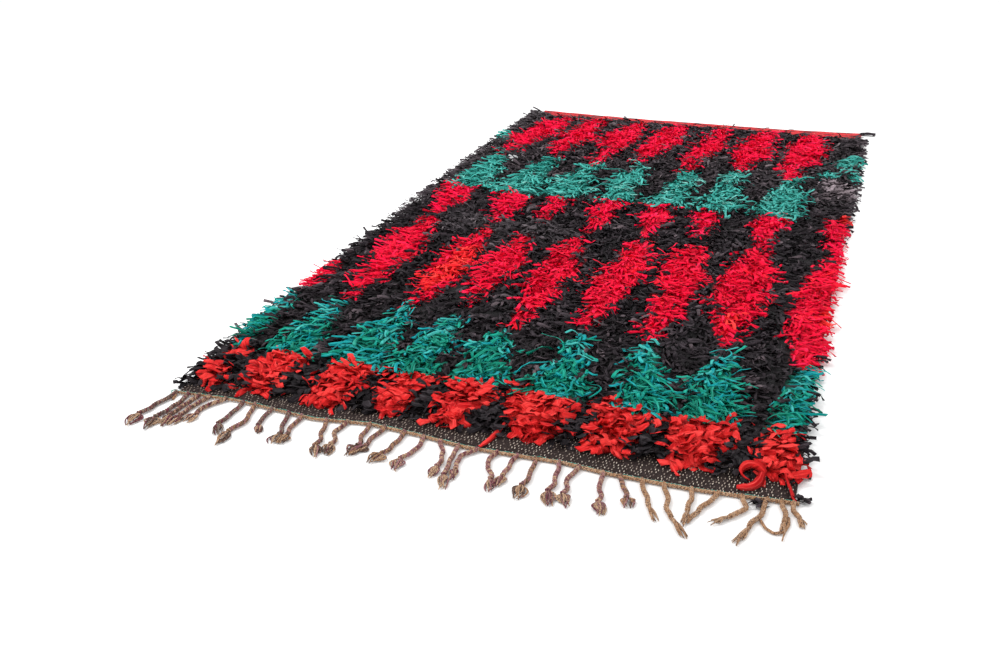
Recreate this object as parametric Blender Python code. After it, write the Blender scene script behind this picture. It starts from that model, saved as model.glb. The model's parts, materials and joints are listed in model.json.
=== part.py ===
"""A long rag-pile rug lying flat on the floor, its fringed end towards -Y.

X runs across the rug, Y away from the fringe and Z up from the floor. All sizes are in metres.
"""

import math
import random
from collections import namedtuple

import bmesh
import bpy
from mathutils import Vector, noise

UP = Vector((0.0, 0.0, 1.0))
GAP = 0.0003

# Ground weave: its thickness, and the wander of its edges.
GROUND_THICKNESS = 0.004
GROUND_CELLS = (44, 88)
EDGE_WANDER = 0.0025

# Centre line of the cord along the fringed end, and the ground's other edges.
EdgePoint = namedtuple("EdgePoint", "at edge")
CORD_LINE = [
    EdgePoint(-0.75, -1.555),
    EdgePoint(-0.58, -1.545),
    EdgePoint(-0.36, -1.568),
    EdgePoint(-0.225, -1.548),
    EdgePoint(-0.095, -1.559),
    EdgePoint(0.02, -1.575),
    EdgePoint(0.16, -1.573),
    EdgePoint(0.245, -1.569),
    EdgePoint(0.35, -1.582),
    EdgePoint(0.54, -1.585),
    EdgePoint(0.75, -1.569),
]
FAR_EDGE = [
    EdgePoint(-0.75, 1.557),
    EdgePoint(-0.35, 1.530),
    EdgePoint(0.03, 1.531),
    EdgePoint(0.40, 1.533),
    EdgePoint(0.75, 1.570),
]
LEFT_EDGE = [
    EdgePoint(-1.56, -0.740),
    EdgePoint(-1.0, -0.746),
    EdgePoint(-0.2, -0.743),
    EdgePoint(0.7, -0.747),
    EdgePoint(1.56, -0.738),
]
RIGHT_EDGE = [
    EdgePoint(-1.56, 0.741),
    EdgePoint(-0.9, 0.738),
    EdgePoint(0.2, 0.743),
    EdgePoint(1.0, 0.746),
    EdgePoint(1.56, 0.743),
]

# Rag pile: a lumpy slab just above the ground, deeper at the fringed end.
PILE_CELLS = (36, 70)
PILE_OVERHANG = 0.014
PILE_NEAR_EDGE = -1.470
PILE_FAR_EDGE = 1.425
PILE_EDGE_WANDER = 0.007
PILE_BOTTOM = GROUND_THICKNESS + GAP
PILE_DEPTH_NEAR = 0.0255
PILE_DEPTH_FAR = 0.0205
PILE_RIM_WIDTH = 0.055
PILE_RIM_SHARE = 0.60
LUMP_SPACING = 0.105
LUMP_HEIGHT = 0.0080
TUFT_SPACING = 0.047
TUFT_HEIGHT = 0.0070
POINT_SHIFT = 0.011

# Locks around the pile's rim, one from each stretch of its wall.
SIDE_REACH = (0.008, 0.040)
END_REACH = (0.012, 0.044)
LOCK_FULLNESS = (0.60, 1.05)
LOCK_SKIP = 0.12
NAP_LEAN = math.radians(9.0)
LOCK_SWAY = math.radians(13.0)
LOCK_SEED = 11
LockSection = namedtuple("LockSection", "reach width under over")
DROOPING_LOCK = [
    LockSection(0.45, 0.60, 0.0026, 0.0135),
    LockSection(1.00, 0.22, 0.0006, 0.0055),
]
LYING_LOCK = [
    LockSection(0.45, 0.62, 0.0047, 0.0135),
    LockSection(1.00, 0.24, 0.0049, 0.0085),
]
LongLock = namedtuple("LongLock", "x reach")
LONG_LOCKS = [
    LongLock(-0.70, 0.050),
    LongLock(-0.40, 0.052),
    LongLock(-0.08, 0.054),
    LongLock(0.06, 0.078),
    LongLock(0.48, 0.066),
    LongLock(0.64, 0.070),
    LongLock(0.72, 0.064),
]

# Edge cord and the tassels that grow from it. Strands are four-sided and rest on the floor.
CORD_HALF_WIDTH = 0.0045
CORD_HEIGHT = 0.0085
CORD_START = -0.746
CORD_END = 0.747
CORD_STEP = 0.030
CORD_SWELL = 0.12
CORD_CLEARANCE = 0.0008
STRAND_TOP_SHARE = 0.66
TASSEL_HALF_WIDTH = 0.0047
TASSEL_HEIGHT = 0.0085
TASSEL_TIP_SHARE = 0.45
TASSEL_ENTRY = 0.010

# Sideways shift of each tassel a third and two thirds of the way out and at its tip, how far
# it reaches from the cord, and half the width of the knotted bundle near its tip.
Tassel = namedtuple("Tassel", "root third two_thirds tip reach bundle")
TASSELS = [
    Tassel(-0.738, -0.004, -0.020, -0.018, 0.165, 0.012),
    Tassel(-0.706, 0.003, -0.005, -0.003, 0.175, 0.011),
    Tassel(-0.676, -0.008, -0.012, -0.004, 0.155, 0.007),
    Tassel(-0.648, -0.012, -0.018, -0.016, 0.145, 0.007),
    Tassel(-0.604, -0.024, -0.030, -0.036, 0.125, 0.008),
    Tassel(-0.556, 0.004, -0.002, 0.020, 0.155, 0.006),
    Tassel(-0.522, 0.008, 0.004, 0.010, 0.185, 0.008),
    Tassel(-0.474, 0.000, 0.010, 0.029, 0.100, 0.005),
    Tassel(-0.426, 0.008, 0.020, 0.022, 0.125, 0.008),
    Tassel(-0.390, 0.002, 0.010, 0.008, 0.125, 0.008),
    Tassel(-0.325, 0.014, 0.028, 0.036, 0.155, 0.007),
    Tassel(-0.275, -0.008, 0.002, 0.016, 0.145, 0.009),
    Tassel(-0.221, 0.000, 0.000, 0.006, 0.140, 0.011),
    Tassel(-0.181, 0.003, -0.008, -0.006, 0.115, 0.007),
    Tassel(-0.131, 0.003, -0.008, -0.022, 0.145, 0.012),
    Tassel(-0.080, 0.003, -0.018, -0.014, 0.150, 0.009),
    Tassel(-0.038, 0.010, 0.030, 0.030, 0.130, 0.006),
    Tassel(0.008, 0.001, 0.006, 0.020, 0.180, 0.007),
    Tassel(0.054, -0.010, -0.016, -0.008, 0.135, 0.006),
    Tassel(0.100, -0.008, 0.012, 0.024, 0.145, 0.006),
    Tassel(0.147, -0.002, -0.005, 0.000, 0.135, 0.008),
    Tassel(0.190, -0.001, 0.004, 0.002, 0.160, 0.010),
    Tassel(0.240, 0.013, 0.012, 0.026, 0.165, 0.009),
    Tassel(0.287, -0.006, -0.002, 0.014, 0.160, 0.009),
    Tassel(0.343, -0.004, 0.014, 0.028, 0.155, 0.008),
    Tassel(0.379, 0.014, 0.028, 0.044, 0.110, 0.009),
    Tassel(0.428, 0.013, 0.036, 0.060, 0.140, 0.005),
    Tassel(0.475, 0.016, 0.030, 0.080, 0.185, 0.007),
    Tassel(0.533, 0.005, 0.004, 0.000, 0.105, 0.007),
    Tassel(0.588, -0.018, -0.026, -0.030, 0.120, 0.005),
    Tassel(0.636, 0.006, -0.014, -0.056, 0.125, 0.007),
    Tassel(0.685, -0.002, -0.020, -0.042, 0.170, 0.008),
    Tassel(0.714, 0.010, 0.010, -0.004, 0.105, 0.006),
    Tassel(0.738, 0.008, 0.018, 0.030, 0.085, 0.006),
]
# Stations along a tassel, and the share of the bundle's extra width at each.
TasselStation = namedtuple("TasselStation", "along bundled")
TASSEL_STATIONS = [
    TasselStation(0.20, 0.0),
    TasselStation(0.42, 0.0),
    TasselStation(0.62, 0.15),
    TasselStation(0.74, 0.85),
    TasselStation(0.88, 1.0),
]

# Rag ends that stick out from under the cord, and the loose end at the far corner.
RagEnd = namedtuple("RagEnd", "name x y half_length half_width height")
RAG_ENDS = [
    RagEnd("rag_end_edge", 0.668, -1.5945, 0.013, 0.0085, 0.014),
    RagEnd("rag_end_corner", 0.7538, -1.5520, 0.015, 0.0090, 0.016),
]
LOOSE_END_START = Vector((0.7466, 1.548, 0.0))
LooseStation = namedtuple("LooseStation", "x y half_width height")
LOOSE_END = [
    LooseStation(0.758, 1.552, 0.0065, 0.010),
    LooseStation(0.775, 1.556, 0.0070, 0.011),
    LooseStation(0.790, 1.553, 0.0065, 0.009),
    LooseStation(0.803, 1.548, 0.0040, 0.006),
]

GROUND_COLOUR = (0.040, 0.031, 0.030)
PILE_COLOUR = (0.42, 0.015, 0.035)
CORD_COLOUR = (0.48, 0.30, 0.16)
DARK_RAG_COLOUR = (0.020, 0.018, 0.019)
CLOTH_ROUGHNESS = 0.95


def blend(low, high, share):
    return low + (high - low) * share


def edge_at(table, at):
    """The edge's position beside a point, straight between the table's rows."""
    if at <= table[0].at:
        return table[0].edge
    for first, second in zip(table, table[1:]):
        if at <= second.at:
            share = (at - first.at) / (second.at - first.at)
            return blend(first.edge, second.edge, share)
    return table[-1].edge


def ripple(along, spacing, salt):
    """A smooth random wave between -1 and 1, the same on every run."""
    return 1.6 * noise.noise(Vector((along / spacing, salt, 0.37)))


def material(name, colour):
    made = bpy.data.materials.new(name)
    made.use_nodes = True
    shader = made.node_tree.nodes["Principled BSDF"]
    shader.inputs["Base Color"].default_value = (*colour, 1.0)
    shader.inputs["Roughness"].default_value = CLOTH_ROUGHNESS
    made.diffuse_color = (*colour, 1.0)
    return made


def add_object(bm, name, colour, collection):
    """Stores the shape as a named object with a material of its own."""
    bmesh.ops.recalc_face_normals(bm, faces=bm.faces)
    mesh = bpy.data.meshes.new(name)
    bm.to_mesh(mesh)
    bm.free()
    mesh.materials.append(material(name, colour))
    added = bpy.data.objects.new(name, mesh)
    collection.objects.link(added)
    return added


def slab(cells, plan, top, bottom):
    """A closed slab over a grid: flat underneath, its upper side following top(x, y)."""
    bm = bmesh.new()
    bmesh.ops.create_grid(bm, x_segments=cells[0], y_segments=cells[1], size=1.0)
    for vert in bm.verts:
        x, y = plan(vert.co.x, vert.co.y)
        vert.co = (x, y, bottom)
    lower = list(bm.faces)
    raised = bmesh.ops.extrude_face_region(bm, geom=bm.faces[:])["geom"]
    for vert in raised:
        if isinstance(vert, bmesh.types.BMVert):
            vert.co.z = top(vert.co.x, vert.co.y)
    flat = [face for face in lower if face.is_valid]
    bmesh.ops.dissolve_faces(bm, faces=flat)
    bm.normal_update()
    return bm


def ground_plan(across, along):
    """Point of the ground for grid shares from -1 to 1, inside its uneven edges."""
    y = 1.55 * along
    left = edge_at(LEFT_EDGE, y) + EDGE_WANDER * ripple(y, 0.11, 1.0)
    right = edge_at(RIGHT_EDGE, y) + EDGE_WANDER * ripple(y, 0.12, 2.0)
    x = blend(left, right, 0.5 + 0.5 * across)
    near = edge_at(CORD_LINE, x) + CORD_HALF_WIDTH * (1.0 + CORD_SWELL) + CORD_CLEARANCE
    far = edge_at(FAR_EDGE, x) + EDGE_WANDER * ripple(x, 0.07, 3.0)
    return x, blend(near, far, 0.5 + 0.5 * along)


def ground_top(x, y):
    return GROUND_THICKNESS


def build_ground(collection):
    bm = slab(GROUND_CELLS, ground_plan, ground_top, 0.0)
    upper = [face for face in bm.faces if face.normal.z > 0.5]
    bmesh.ops.dissolve_faces(bm, faces=upper)
    return add_object(bm, "ground_weave", GROUND_COLOUR, collection)


def pile_plan(across, along):
    """Point of the pile for grid shares from -1 to 1: it hangs over the ground's sides."""
    y = blend(PILE_NEAR_EDGE, PILE_FAR_EDGE, 0.5 + 0.5 * along)
    left = edge_at(LEFT_EDGE, y) - PILE_OVERHANG
    right = edge_at(RIGHT_EDGE, y) + PILE_OVERHANG
    left += 0.6 * PILE_EDGE_WANDER * ripple(y, 0.15, 4.0)
    right += 0.6 * PILE_EDGE_WANDER * ripple(y, 0.15, 5.0)
    x = blend(left, right, 0.5 + 0.5 * across)
    near = PILE_NEAR_EDGE + PILE_EDGE_WANDER * ripple(x, 0.10, 6.0)
    far = PILE_FAR_EDGE + PILE_EDGE_WANDER * ripple(x, 0.10, 7.0)
    y = blend(near, far, 0.5 + 0.5 * along)
    inside = min(1.0, 6.0 * (1.0 - abs(across)), 12.0 * (1.0 - abs(along)))
    x += inside * POINT_SHIFT * ripple(x + 3.1 * y, 0.05, 8.0)
    y += inside * POINT_SHIFT * ripple(y - 2.3 * x, 0.05, 9.0)
    return x, y


def pile_top(x, y):
    """Height of the pile: lumps and tufts, sloping down towards its rim."""
    along = (y - PILE_NEAR_EDGE) / (PILE_FAR_EDGE - PILE_NEAR_EDGE)
    depth = blend(PILE_DEPTH_NEAR, PILE_DEPTH_FAR, along)
    lump = noise.noise(Vector((x / LUMP_SPACING, y / LUMP_SPACING, 2.0)))
    tuft = noise.noise(Vector((x / TUFT_SPACING, y / TUFT_SPACING, 7.0)))
    to_side = min(x - edge_at(LEFT_EDGE, y), edge_at(RIGHT_EDGE, y) - x) + PILE_OVERHANG
    to_end = min(y - PILE_NEAR_EDGE, PILE_FAR_EDGE - y)
    inward = max(0.0, min(1.0, min(to_side, to_end) / PILE_RIM_WIDTH))
    slope = blend(PILE_RIM_SHARE, 1.0, math.sin(0.5 * math.pi * inward))
    return PILE_BOTTOM + depth * slope + LUMP_HEIGHT * lump + TUFT_HEIGHT * tuft


def lock_reach(wall, centre, outward, dice):
    """How far the lock on this stretch of wall reaches."""
    if abs(outward.x) > abs(outward.y):
        return dice.uniform(*SIDE_REACH)
    reach = dice.uniform(*END_REACH)
    half_wall = 0.5 * max(edge.calc_length() for edge in wall.edges)
    for lock in LONG_LOCKS:
        if outward.y < 0.0 and abs(centre.x - lock.x) < half_wall:
            return lock.reach
    return reach


def grow_lock(bm, wall, dice):
    """Grows one tapering lock from a stretch of the pile's wall."""
    centre = wall.calc_center_median()
    outward = Vector((wall.normal.x, wall.normal.y, 0.0)).normalized()
    on_side = abs(outward.x) > abs(outward.y)
    reach = lock_reach(wall, centre, outward, dice)
    turn = dice.uniform(-LOCK_SWAY, LOCK_SWAY)
    if on_side:
        turn -= math.copysign(NAP_LEAN, outward.x)
    cos, sin = math.cos(turn), math.sin(turn)
    heading = Vector((outward.x * cos - outward.y * sin, outward.x * sin + outward.y * cos, 0.0))
    across = heading.cross(UP)
    offsets = [(vert.co - centre).dot(outward.cross(UP)) for vert in wall.verts]
    upper = [vert.co.z > centre.z for vert in wall.verts]
    fullness = dice.uniform(*LOCK_FULLNESS)
    for section in DROOPING_LOCK if on_side else LYING_LOCK:
        wall = bmesh.ops.extrude_discrete_faces(bm, faces=[wall])["faces"][0]
        middle = centre + heading * (reach * section.reach)
        for vert, offset, is_upper in zip(wall.verts, offsets, upper):
            height = section.over if is_upper else section.under
            vert.co = middle + across * (offset * section.width * fullness)
            vert.co.z = height


def rim_order(wall):
    """Sorts the rim's stretches by place, so that each gets the same lock on every run."""
    centre = wall.calc_center_median()
    return round(centre.y, 4), round(centre.x, 4)


def build_pile(collection):
    bm = slab(PILE_CELLS, pile_plan, pile_top, PILE_BOTTOM)
    dice = random.Random(LOCK_SEED)
    walls = [face for face in bm.faces if abs(face.normal.z) < 0.2 and len(face.verts) == 4]
    rim = [face for face in walls if min(vert.co.z for vert in face.verts) < PILE_BOTTOM + GAP]
    for wall in sorted(rim, key=rim_order):
        if dice.random() > LOCK_SKIP:
            grow_lock(bm, wall, dice)
    return add_object(bm, "rag_pile", PILE_COLOUR, collection)


def grow(bm, tip, facing, centre, heading, half_width, height):
    """Carries a four-sided strand on from its tip face to a new section resting on the floor."""
    middle = tip.calc_center_median()
    before = facing.cross(UP)
    across = heading.cross(UP)
    tip = bmesh.ops.extrude_discrete_faces(bm, faces=[tip])["faces"][0]
    for vert in tip.verts:
        is_upper = vert.co.z > middle.z
        side = math.copysign(half_width, (vert.co - middle).dot(before))
        if is_upper:
            side *= STRAND_TOP_SHARE
        vert.co = centre + across * side
        vert.co.z = height if is_upper else 0.0
    return tip


def strand_start(bm, centre, heading, length, half_width, height):
    """A short first stretch of strand, and its far face."""
    bmesh.ops.create_cube(bm, size=2.0)
    across = heading.cross(UP)
    for vert in bm.verts:
        is_upper = vert.co.z > 0.0
        side = half_width * vert.co.y * (STRAND_TOP_SHARE if is_upper else 1.0)
        along = length if vert.co.x > 0.0 else 0.0
        vert.co = centre + heading * along - across * side
        vert.co.z = height if is_upper else 0.0
    bm.normal_update()
    return max(bm.faces, key=lambda face: face.normal.dot(heading))


def cord_stations():
    """Stations along the cord: both sides of each tassel's root, and between roots."""
    stations = [CORD_START]
    for tassel in TASSELS:
        left = tassel.root - TASSEL_HALF_WIDTH
        gap = left - stations[-1]
        steps = max(1, round(gap / CORD_STEP))
        start = stations[-1]
        if gap > 0.001:
            stations += [start + gap * step / steps for step in range(1, steps + 1)]
        stations.append(tassel.root + TASSEL_HALF_WIDTH)
    stations.append(CORD_END)
    return stations


def cord_point(x):
    return Vector((x, edge_at(CORD_LINE, x), 0.0))


def tassel_shift(tassel, along):
    """Sideways shift of a tassel, smooth through its three tabled values."""
    knots = (0.0, tassel.third, tassel.two_thirds, tassel.tip)
    place = min(along, 0.9999) * 3.0
    index = int(place)
    share = place - index
    share = share * share * (3.0 - 2.0 * share) * 0.5 + share * 0.5
    return blend(knots[index], knots[index + 1], share)


def grow_tassel(bm, tassel):
    """Grows a tassel from the cord's near side at its root."""
    root = cord_point(tassel.root)
    near = [face for face in bm.faces if face.normal.y < -0.7 and len(face.verts) == 4]
    tip = min(near, key=lambda face: abs(face.calc_center_median().x - tassel.root))
    facing = Vector((0.0, -1.0, 0.0))
    before = root.copy()
    start = CORD_HALF_WIDTH / tassel.reach
    stations = [TasselStation(start + TASSEL_ENTRY / tassel.reach, 0.0), *TASSEL_STATIONS]
    stations = [station for station in stations if station.along > start]
    stations.append(TasselStation(1.0, 0.0))
    for station in sorted(stations):
        shift = tassel_shift(tassel, station.along)
        centre = root + Vector((shift, -tassel.reach * station.along, 0.0))
        heading = (centre - before).normalized()
        extra = max(0.0, tassel.bundle - TASSEL_HALF_WIDTH) * station.bundled
        half_width = TASSEL_HALF_WIDTH + extra
        height = TASSEL_HEIGHT + 0.6 * extra
        if station.along == 1.0:
            half_width *= TASSEL_TIP_SHARE
            height *= TASSEL_TIP_SHARE
        tip = grow(bm, tip, facing, centre, heading, half_width, height)
        facing = heading
        before = centre


def build_fringe(collection):
    bm = bmesh.new()
    stations = cord_stations()
    points = [cord_point(x) for x in stations]
    heading = (points[1] - points[0]).normalized()
    length = (points[1] - points[0]).length
    tip = strand_start(bm, points[0], heading, length, CORD_HALF_WIDTH, CORD_HEIGHT)
    for before, point in zip(points[1:], points[2:]):
        onward = (point - before).normalized()
        swell = 1.0 + CORD_SWELL * ripple(point.x, 0.02, 12.0) * 0.6
        tip = grow(bm, tip, heading, point, onward, CORD_HALF_WIDTH * swell, CORD_HEIGHT * swell)
        heading = onward
    bm.normal_update()
    for tassel in TASSELS:
        grow_tassel(bm, tassel)
    return add_object(bm, "fringe", CORD_COLOUR, collection)


def build_rag_end(end, collection):
    """A short soft rag end lying on the floor."""
    bm = bmesh.new()
    bmesh.ops.create_icosphere(bm, subdivisions=2, radius=1.0)
    for vert in bm.verts:
        vert.co.x *= end.half_length
        vert.co.y *= end.half_width
        vert.co.z = 0.5 * end.height * (1.0 + vert.co.z)
        vert.co.x += end.x
        vert.co.y += end.y
    return add_object(bm, end.name, DARK_RAG_COLOUR, collection)


def build_loose_end(collection):
    bm = bmesh.new()
    first = LOOSE_END[0]
    centre = Vector((first.x, first.y, 0.0))
    heading = (centre - LOOSE_END_START).normalized()
    length = (centre - LOOSE_END_START).length
    tip = strand_start(bm, LOOSE_END_START, heading, length, first.half_width, first.height)
    for station in LOOSE_END[1:]:
        point = Vector((station.x, station.y, 0.0))
        onward = (point - centre).normalized()
        tip = grow(bm, tip, heading, point, onward, station.half_width, station.height)
        heading = onward
        centre = point
    return add_object(bm, "loose_end", DARK_RAG_COLOUR, collection)


def main():
    for old in list(bpy.data.objects):
        bpy.data.objects.remove(old)
    collection = bpy.data.collections.new("rag_pile_rug")
    bpy.context.scene.collection.children.link(collection)
    build_ground(collection)
    build_pile(collection)
    build_fringe(collection)
    for end in RAG_ENDS:
        build_rag_end(end, collection)
    build_loose_end(collection)


main()
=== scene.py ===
"""Rag-pile rug on a pale floor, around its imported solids. Metres: X across, Y away from the fringe, Z up."""
import json
import math
from collections import namedtuple

import bmesh
import bpy
import numpy as np
from mathutils import Matrix, Vector, noise
from mathutils.bvhtree import BVHTree

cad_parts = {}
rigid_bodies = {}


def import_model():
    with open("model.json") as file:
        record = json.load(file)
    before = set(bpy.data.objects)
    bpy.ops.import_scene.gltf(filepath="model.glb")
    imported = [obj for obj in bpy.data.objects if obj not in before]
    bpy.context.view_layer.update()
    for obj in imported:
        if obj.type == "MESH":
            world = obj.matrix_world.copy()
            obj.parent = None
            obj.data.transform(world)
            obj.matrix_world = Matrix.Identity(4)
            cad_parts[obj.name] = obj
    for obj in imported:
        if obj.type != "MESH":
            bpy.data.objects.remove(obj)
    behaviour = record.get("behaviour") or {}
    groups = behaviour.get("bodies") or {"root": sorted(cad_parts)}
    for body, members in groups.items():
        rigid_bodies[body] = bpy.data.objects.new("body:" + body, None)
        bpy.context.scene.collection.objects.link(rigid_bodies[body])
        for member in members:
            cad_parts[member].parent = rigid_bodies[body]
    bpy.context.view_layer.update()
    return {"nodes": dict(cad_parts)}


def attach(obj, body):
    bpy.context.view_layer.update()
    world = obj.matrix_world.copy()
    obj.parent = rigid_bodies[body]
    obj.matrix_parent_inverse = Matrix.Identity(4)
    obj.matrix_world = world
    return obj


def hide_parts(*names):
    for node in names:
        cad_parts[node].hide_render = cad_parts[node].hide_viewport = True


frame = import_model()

UP = Vector((0.0, 0.0, 1.0))
FLOOR_GAP = 0.0006
GROUND_THICKNESS = 0.004
PILE_START = -1.470
PILE_END = 1.425
HEADING_START = 1.405


# Edges of the rug. Each table holds rows of a place along the edge and where the edge runs there.
CORD_LINE = [
    (-0.75, -1.555), (-0.58, -1.545), (-0.36, -1.568), (-0.225, -1.548), (-0.095, -1.559), (0.02, -1.575),
    (0.16, -1.573), (0.245, -1.569), (0.35, -1.582), (0.54, -1.585), (0.75, -1.569),
]
FAR_EDGE = [(-0.75, 1.557), (-0.35, 1.530), (0.03, 1.531), (0.40, 1.533), (0.75, 1.570)]
LEFT_EDGE = [(-1.56, -0.740), (-1.0, -0.746), (-0.2, -0.743), (0.7, -0.747), (1.56, -0.738)]
RIGHT_EDGE = [(-1.56, 0.741), (-0.9, 0.738), (0.2, 0.743), (1.0, 0.746), (1.56, 0.743)]
# Values that many functions use.
RIPPLE_SWING = 1.6
BAKED = "OFBake"
SQUARE = ((0, 0), (1, 0), (1, 1), (0, 1))
FULL_TURN = 2.0 * math.pi


def blend(low, high, share):
    return low + (high - low) * share


def value_at(table, place):
    """Value of a table of (place, value) rows at one place or many."""
    return np.interp(place, [row[0] for row in table], [row[1] for row in table])


def ripple(along, spacing, salt):
    return RIPPLE_SWING * noise.noise(Vector((along / spacing, salt, 0.37)))


def clouds(x, y, across, along, salt):
    """Smooth noise at many points, in lumps of a given size across and along."""
    return np.array([noise.noise(Vector((a / across, b / along, salt))) for a, b in zip(x, y)])


def add_node(tree, kind, inputs, out=0, **settings):
    """Adds a node with its settings, links or sets its inputs, and returns the output that is wanted."""
    node = tree.nodes.new(kind)
    for key, value in settings.items():
        setattr(node, key, value)
    for key, value in inputs.items():
        if isinstance(value, bpy.types.NodeSocket):
            tree.links.new(value, node.inputs[key])
        else:
            node.inputs[key].default_value = value
    return node.outputs[out]


# Materials.
class Shader:
    """A material under construction: short calls that add and link nodes."""

    def __init__(self, name, roughness=0.85, sheen=0.0, specular=0.3):
        self.material = bpy.data.materials.new(name)
        self.material.use_nodes = True
        self.tree = self.material.node_tree
        self.cloth = self.tree.nodes["Principled BSDF"]
        for title, number in (("Roughness", roughness), ("Specular IOR Level", specular),
                              ("Sheen Weight", sheen), ("Sheen Roughness", 0.45)):
            self.cloth.inputs[title].default_value = number

    def add(self, kind, inputs, out, **settings):
        return add_node(self.tree, kind, inputs, out, **settings)

    def place(self):
        return self.add("ShaderNodeTexCoord", {}, "Object")

    def stretched(self, scale):
        return self.add("ShaderNodeMapping", {"Scale": scale, "Vector": self.place()}, "Vector")

    def grain(self, scale, detail=2.0, roughness=0.5, vector=None):
        return self.add("ShaderNodeTexNoise", {"Scale": scale, "Detail": detail, "Roughness": roughness,
                                               "Vector": vector or self.place()}, "Fac")

    def attribute(self, name, out="Fac"):
        return self.add("ShaderNodeAttribute", {}, out, attribute_name=name)

    def ramp(self, value, *stops):
        made = self.add("ShaderNodeValToRGB", {"Fac": value}, "Color")
        elements = made.node.color_ramp.elements
        while len(elements) < len(stops):
            elements.new(0.5)
        for element, (at, colour) in zip(elements, stops):
            element.position = at
            element.color = (*colour, 1.0)
        return made

    def level(self, value, low, high, start=0.0, end=1.0):
        """A number that runs from low to high while value runs from start to end."""
        return self.add("ShaderNodeMapRange", {"Value": value, "From Min": start, "From Max": end,
                                               "To Min": low, "To Max": high}, "Result")

    def shade(self, colour, value, low, high):
        """Multiplies a colour by a number that runs from low to high with value."""
        return self.add("ShaderNodeMix", {"Factor": 1.0, "A": colour, "B": self.level(value, low, high)},
                        "Result", data_type="RGBA", blend_type="MULTIPLY")

    def mix(self, share, first, second):
        """Runs from one colour, a socket, to another, a plain colour."""
        return self.add("ShaderNodeMix", {"Factor": share, "A": first, "B": (*second, 1.0)}, "Result",
                        data_type="RGBA")

    def math(self, operation, first, second):
        return self.add("ShaderNodeMath", {0: first, 1: second}, 0, operation=operation)

    def bump(self, height, distance, strength=1.0):
        normal = self.add("ShaderNodeBump", {"Strength": strength, "Distance": distance, "Height": height},
                          "Normal")
        self.tree.links.new(normal, self.cloth.inputs["Normal"])

    def colour(self, colour):
        self.tree.links.new(colour, self.cloth.inputs["Base Color"])


# Creases: how many run across and along a strip, and how dark their painted shade and how light their painted
# highlight are.
CREASES_ACROSS = 5.2
CREASES_ALONG = 1.9
CREASE_PAINTED_SHADING = (0.30, 1.72)
OWN_CREASES = 83.0
# Painted highlight on the folds: the span of the crease pattern where it shows, and how strong it is.
HIGHLIGHT_FOLDS = (0.53, 0.68)
HIGHLIGHT_SHARE = 0.65
PATCH_SCALE = 3.2
FIBRE_SCALE = 900.0
FIBRE_SHARE = 0.25
RAG_BUMP = (0.0020, 0.9)


def rag_cloth(name, stops, light, root_painted_shade, tip_painted_light, specular=0.08, patches=0.0):
    """Cut rag: each strip has its own tint, painted shade at its root and painted light at its tip, creases
    along it with painted shade and painted highlight, and a paler painted highlight on its folds.
    """
    shader = Shader(name, roughness=0.82, specular=specular)
    tint, along = shader.attribute("tint"), shader.attribute("along")
    # Painted shade towards the root, down in the pile, and painted light towards the tip.
    colour = shader.shade(shader.ramp(tint, *stops), along, root_painted_shade, tip_painted_light)
    across = shader.math("MULTIPLY", shader.attribute("across"), CREASES_ACROSS)
    strip = shader.add("ShaderNodeCombineXYZ", {
        "X": shader.math("ADD", across, shader.math("MULTIPLY", tint, OWN_CREASES)),
        "Y": shader.math("MULTIPLY", along, CREASES_ALONG)}, "Vector")
    creases = shader.grain(1.0, roughness=0.6, vector=strip)
    # Painted shade in the creases and painted highlight on them, then a paler painted highlight on the folds.
    colour = shader.shade(colour, creases, *CREASE_PAINTED_SHADING)
    colour = shader.mix(shader.level(creases, 0.0, HIGHLIGHT_SHARE, *HIGHLIGHT_FOLDS), colour, light)
    if patches:
        colour = shader.shade(colour, shader.grain(PATCH_SCALE), 1.0 - patches, 1.0 + patches)
    shader.colour(colour)
    fibre = shader.math("MULTIPLY", shader.grain(FIBRE_SCALE), FIBRE_SHARE)
    shader.bump(shader.math("ADD", fibre, creases), *RAG_BUMP)
    return shader.material


def ground_cloth():
    """Dark flat weave of the ground, ribbed along its wefts, with wear between the yarns."""
    shader = Shader("ground flat weave", roughness=0.95, specular=0.08)
    yarn = shader.grain(1.0, vector=shader.stretched((260.0, 1500.0, 400.0)))
    colour = shader.ramp(yarn, (0.25, (0.012, 0.009, 0.009)), (0.55, (0.045, 0.032, 0.030)),
                         (0.8, (0.115, 0.082, 0.074)))
    shader.colour(shader.shade(colour, shader.grain(18.0, detail=3.0), 0.7, 1.35))
    wefts = shader.add("ShaderNodeTexWave", {"Scale": 70.0, "Distortion": 1.2, "Detail": 1.0,
                                             "Vector": shader.place()}, "Fac", bands_direction="Y")
    shader.bump(shader.math("ADD", wefts, shader.math("MULTIPLY", yarn, 0.5)), 0.0016)
    return shader.material


def heading_cloth():
    """Orange-red flat heading at the far end, with dark wefts showing through in places."""
    shader = Shader("red flat heading", roughness=0.92, specular=0.08)
    yarn = shader.grain(1.0, vector=shader.stretched((120.0, 900.0, 300.0)))
    patch = shader.grain(1.0, vector=shader.stretched((16.0, 70.0, 10.0)))
    red = shader.ramp(yarn, (0.3, (0.34, 0.014, 0.022)), (0.55, (0.66, 0.042, 0.050)),
                      (0.80, (0.88, 0.150, 0.140)))
    shader.colour(shader.mix(shader.math("GREATER_THAN", patch, 0.57), red, (0.035, 0.025, 0.025)))
    shader.bump(yarn, 0.0015)
    return shader.material


# Making meshes.
def mesh_of(bm, name, smooth=True):
    """Turns an edit mesh into a mesh, smooth unless told otherwise."""
    mesh = bpy.data.meshes.new(name)
    bm.to_mesh(mesh)
    bm.free()
    mesh.polygons.foreach_set("use_smooth", [smooth] * len(mesh.polygons))
    return mesh


def add_object(mesh, material=None):
    """Puts a mesh in the scene under its own name."""
    if material is not None:
        mesh.materials.append(material)
    made = bpy.data.objects.new(mesh.name, mesh)
    bpy.context.scene.collection.objects.link(made)
    return made


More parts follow.
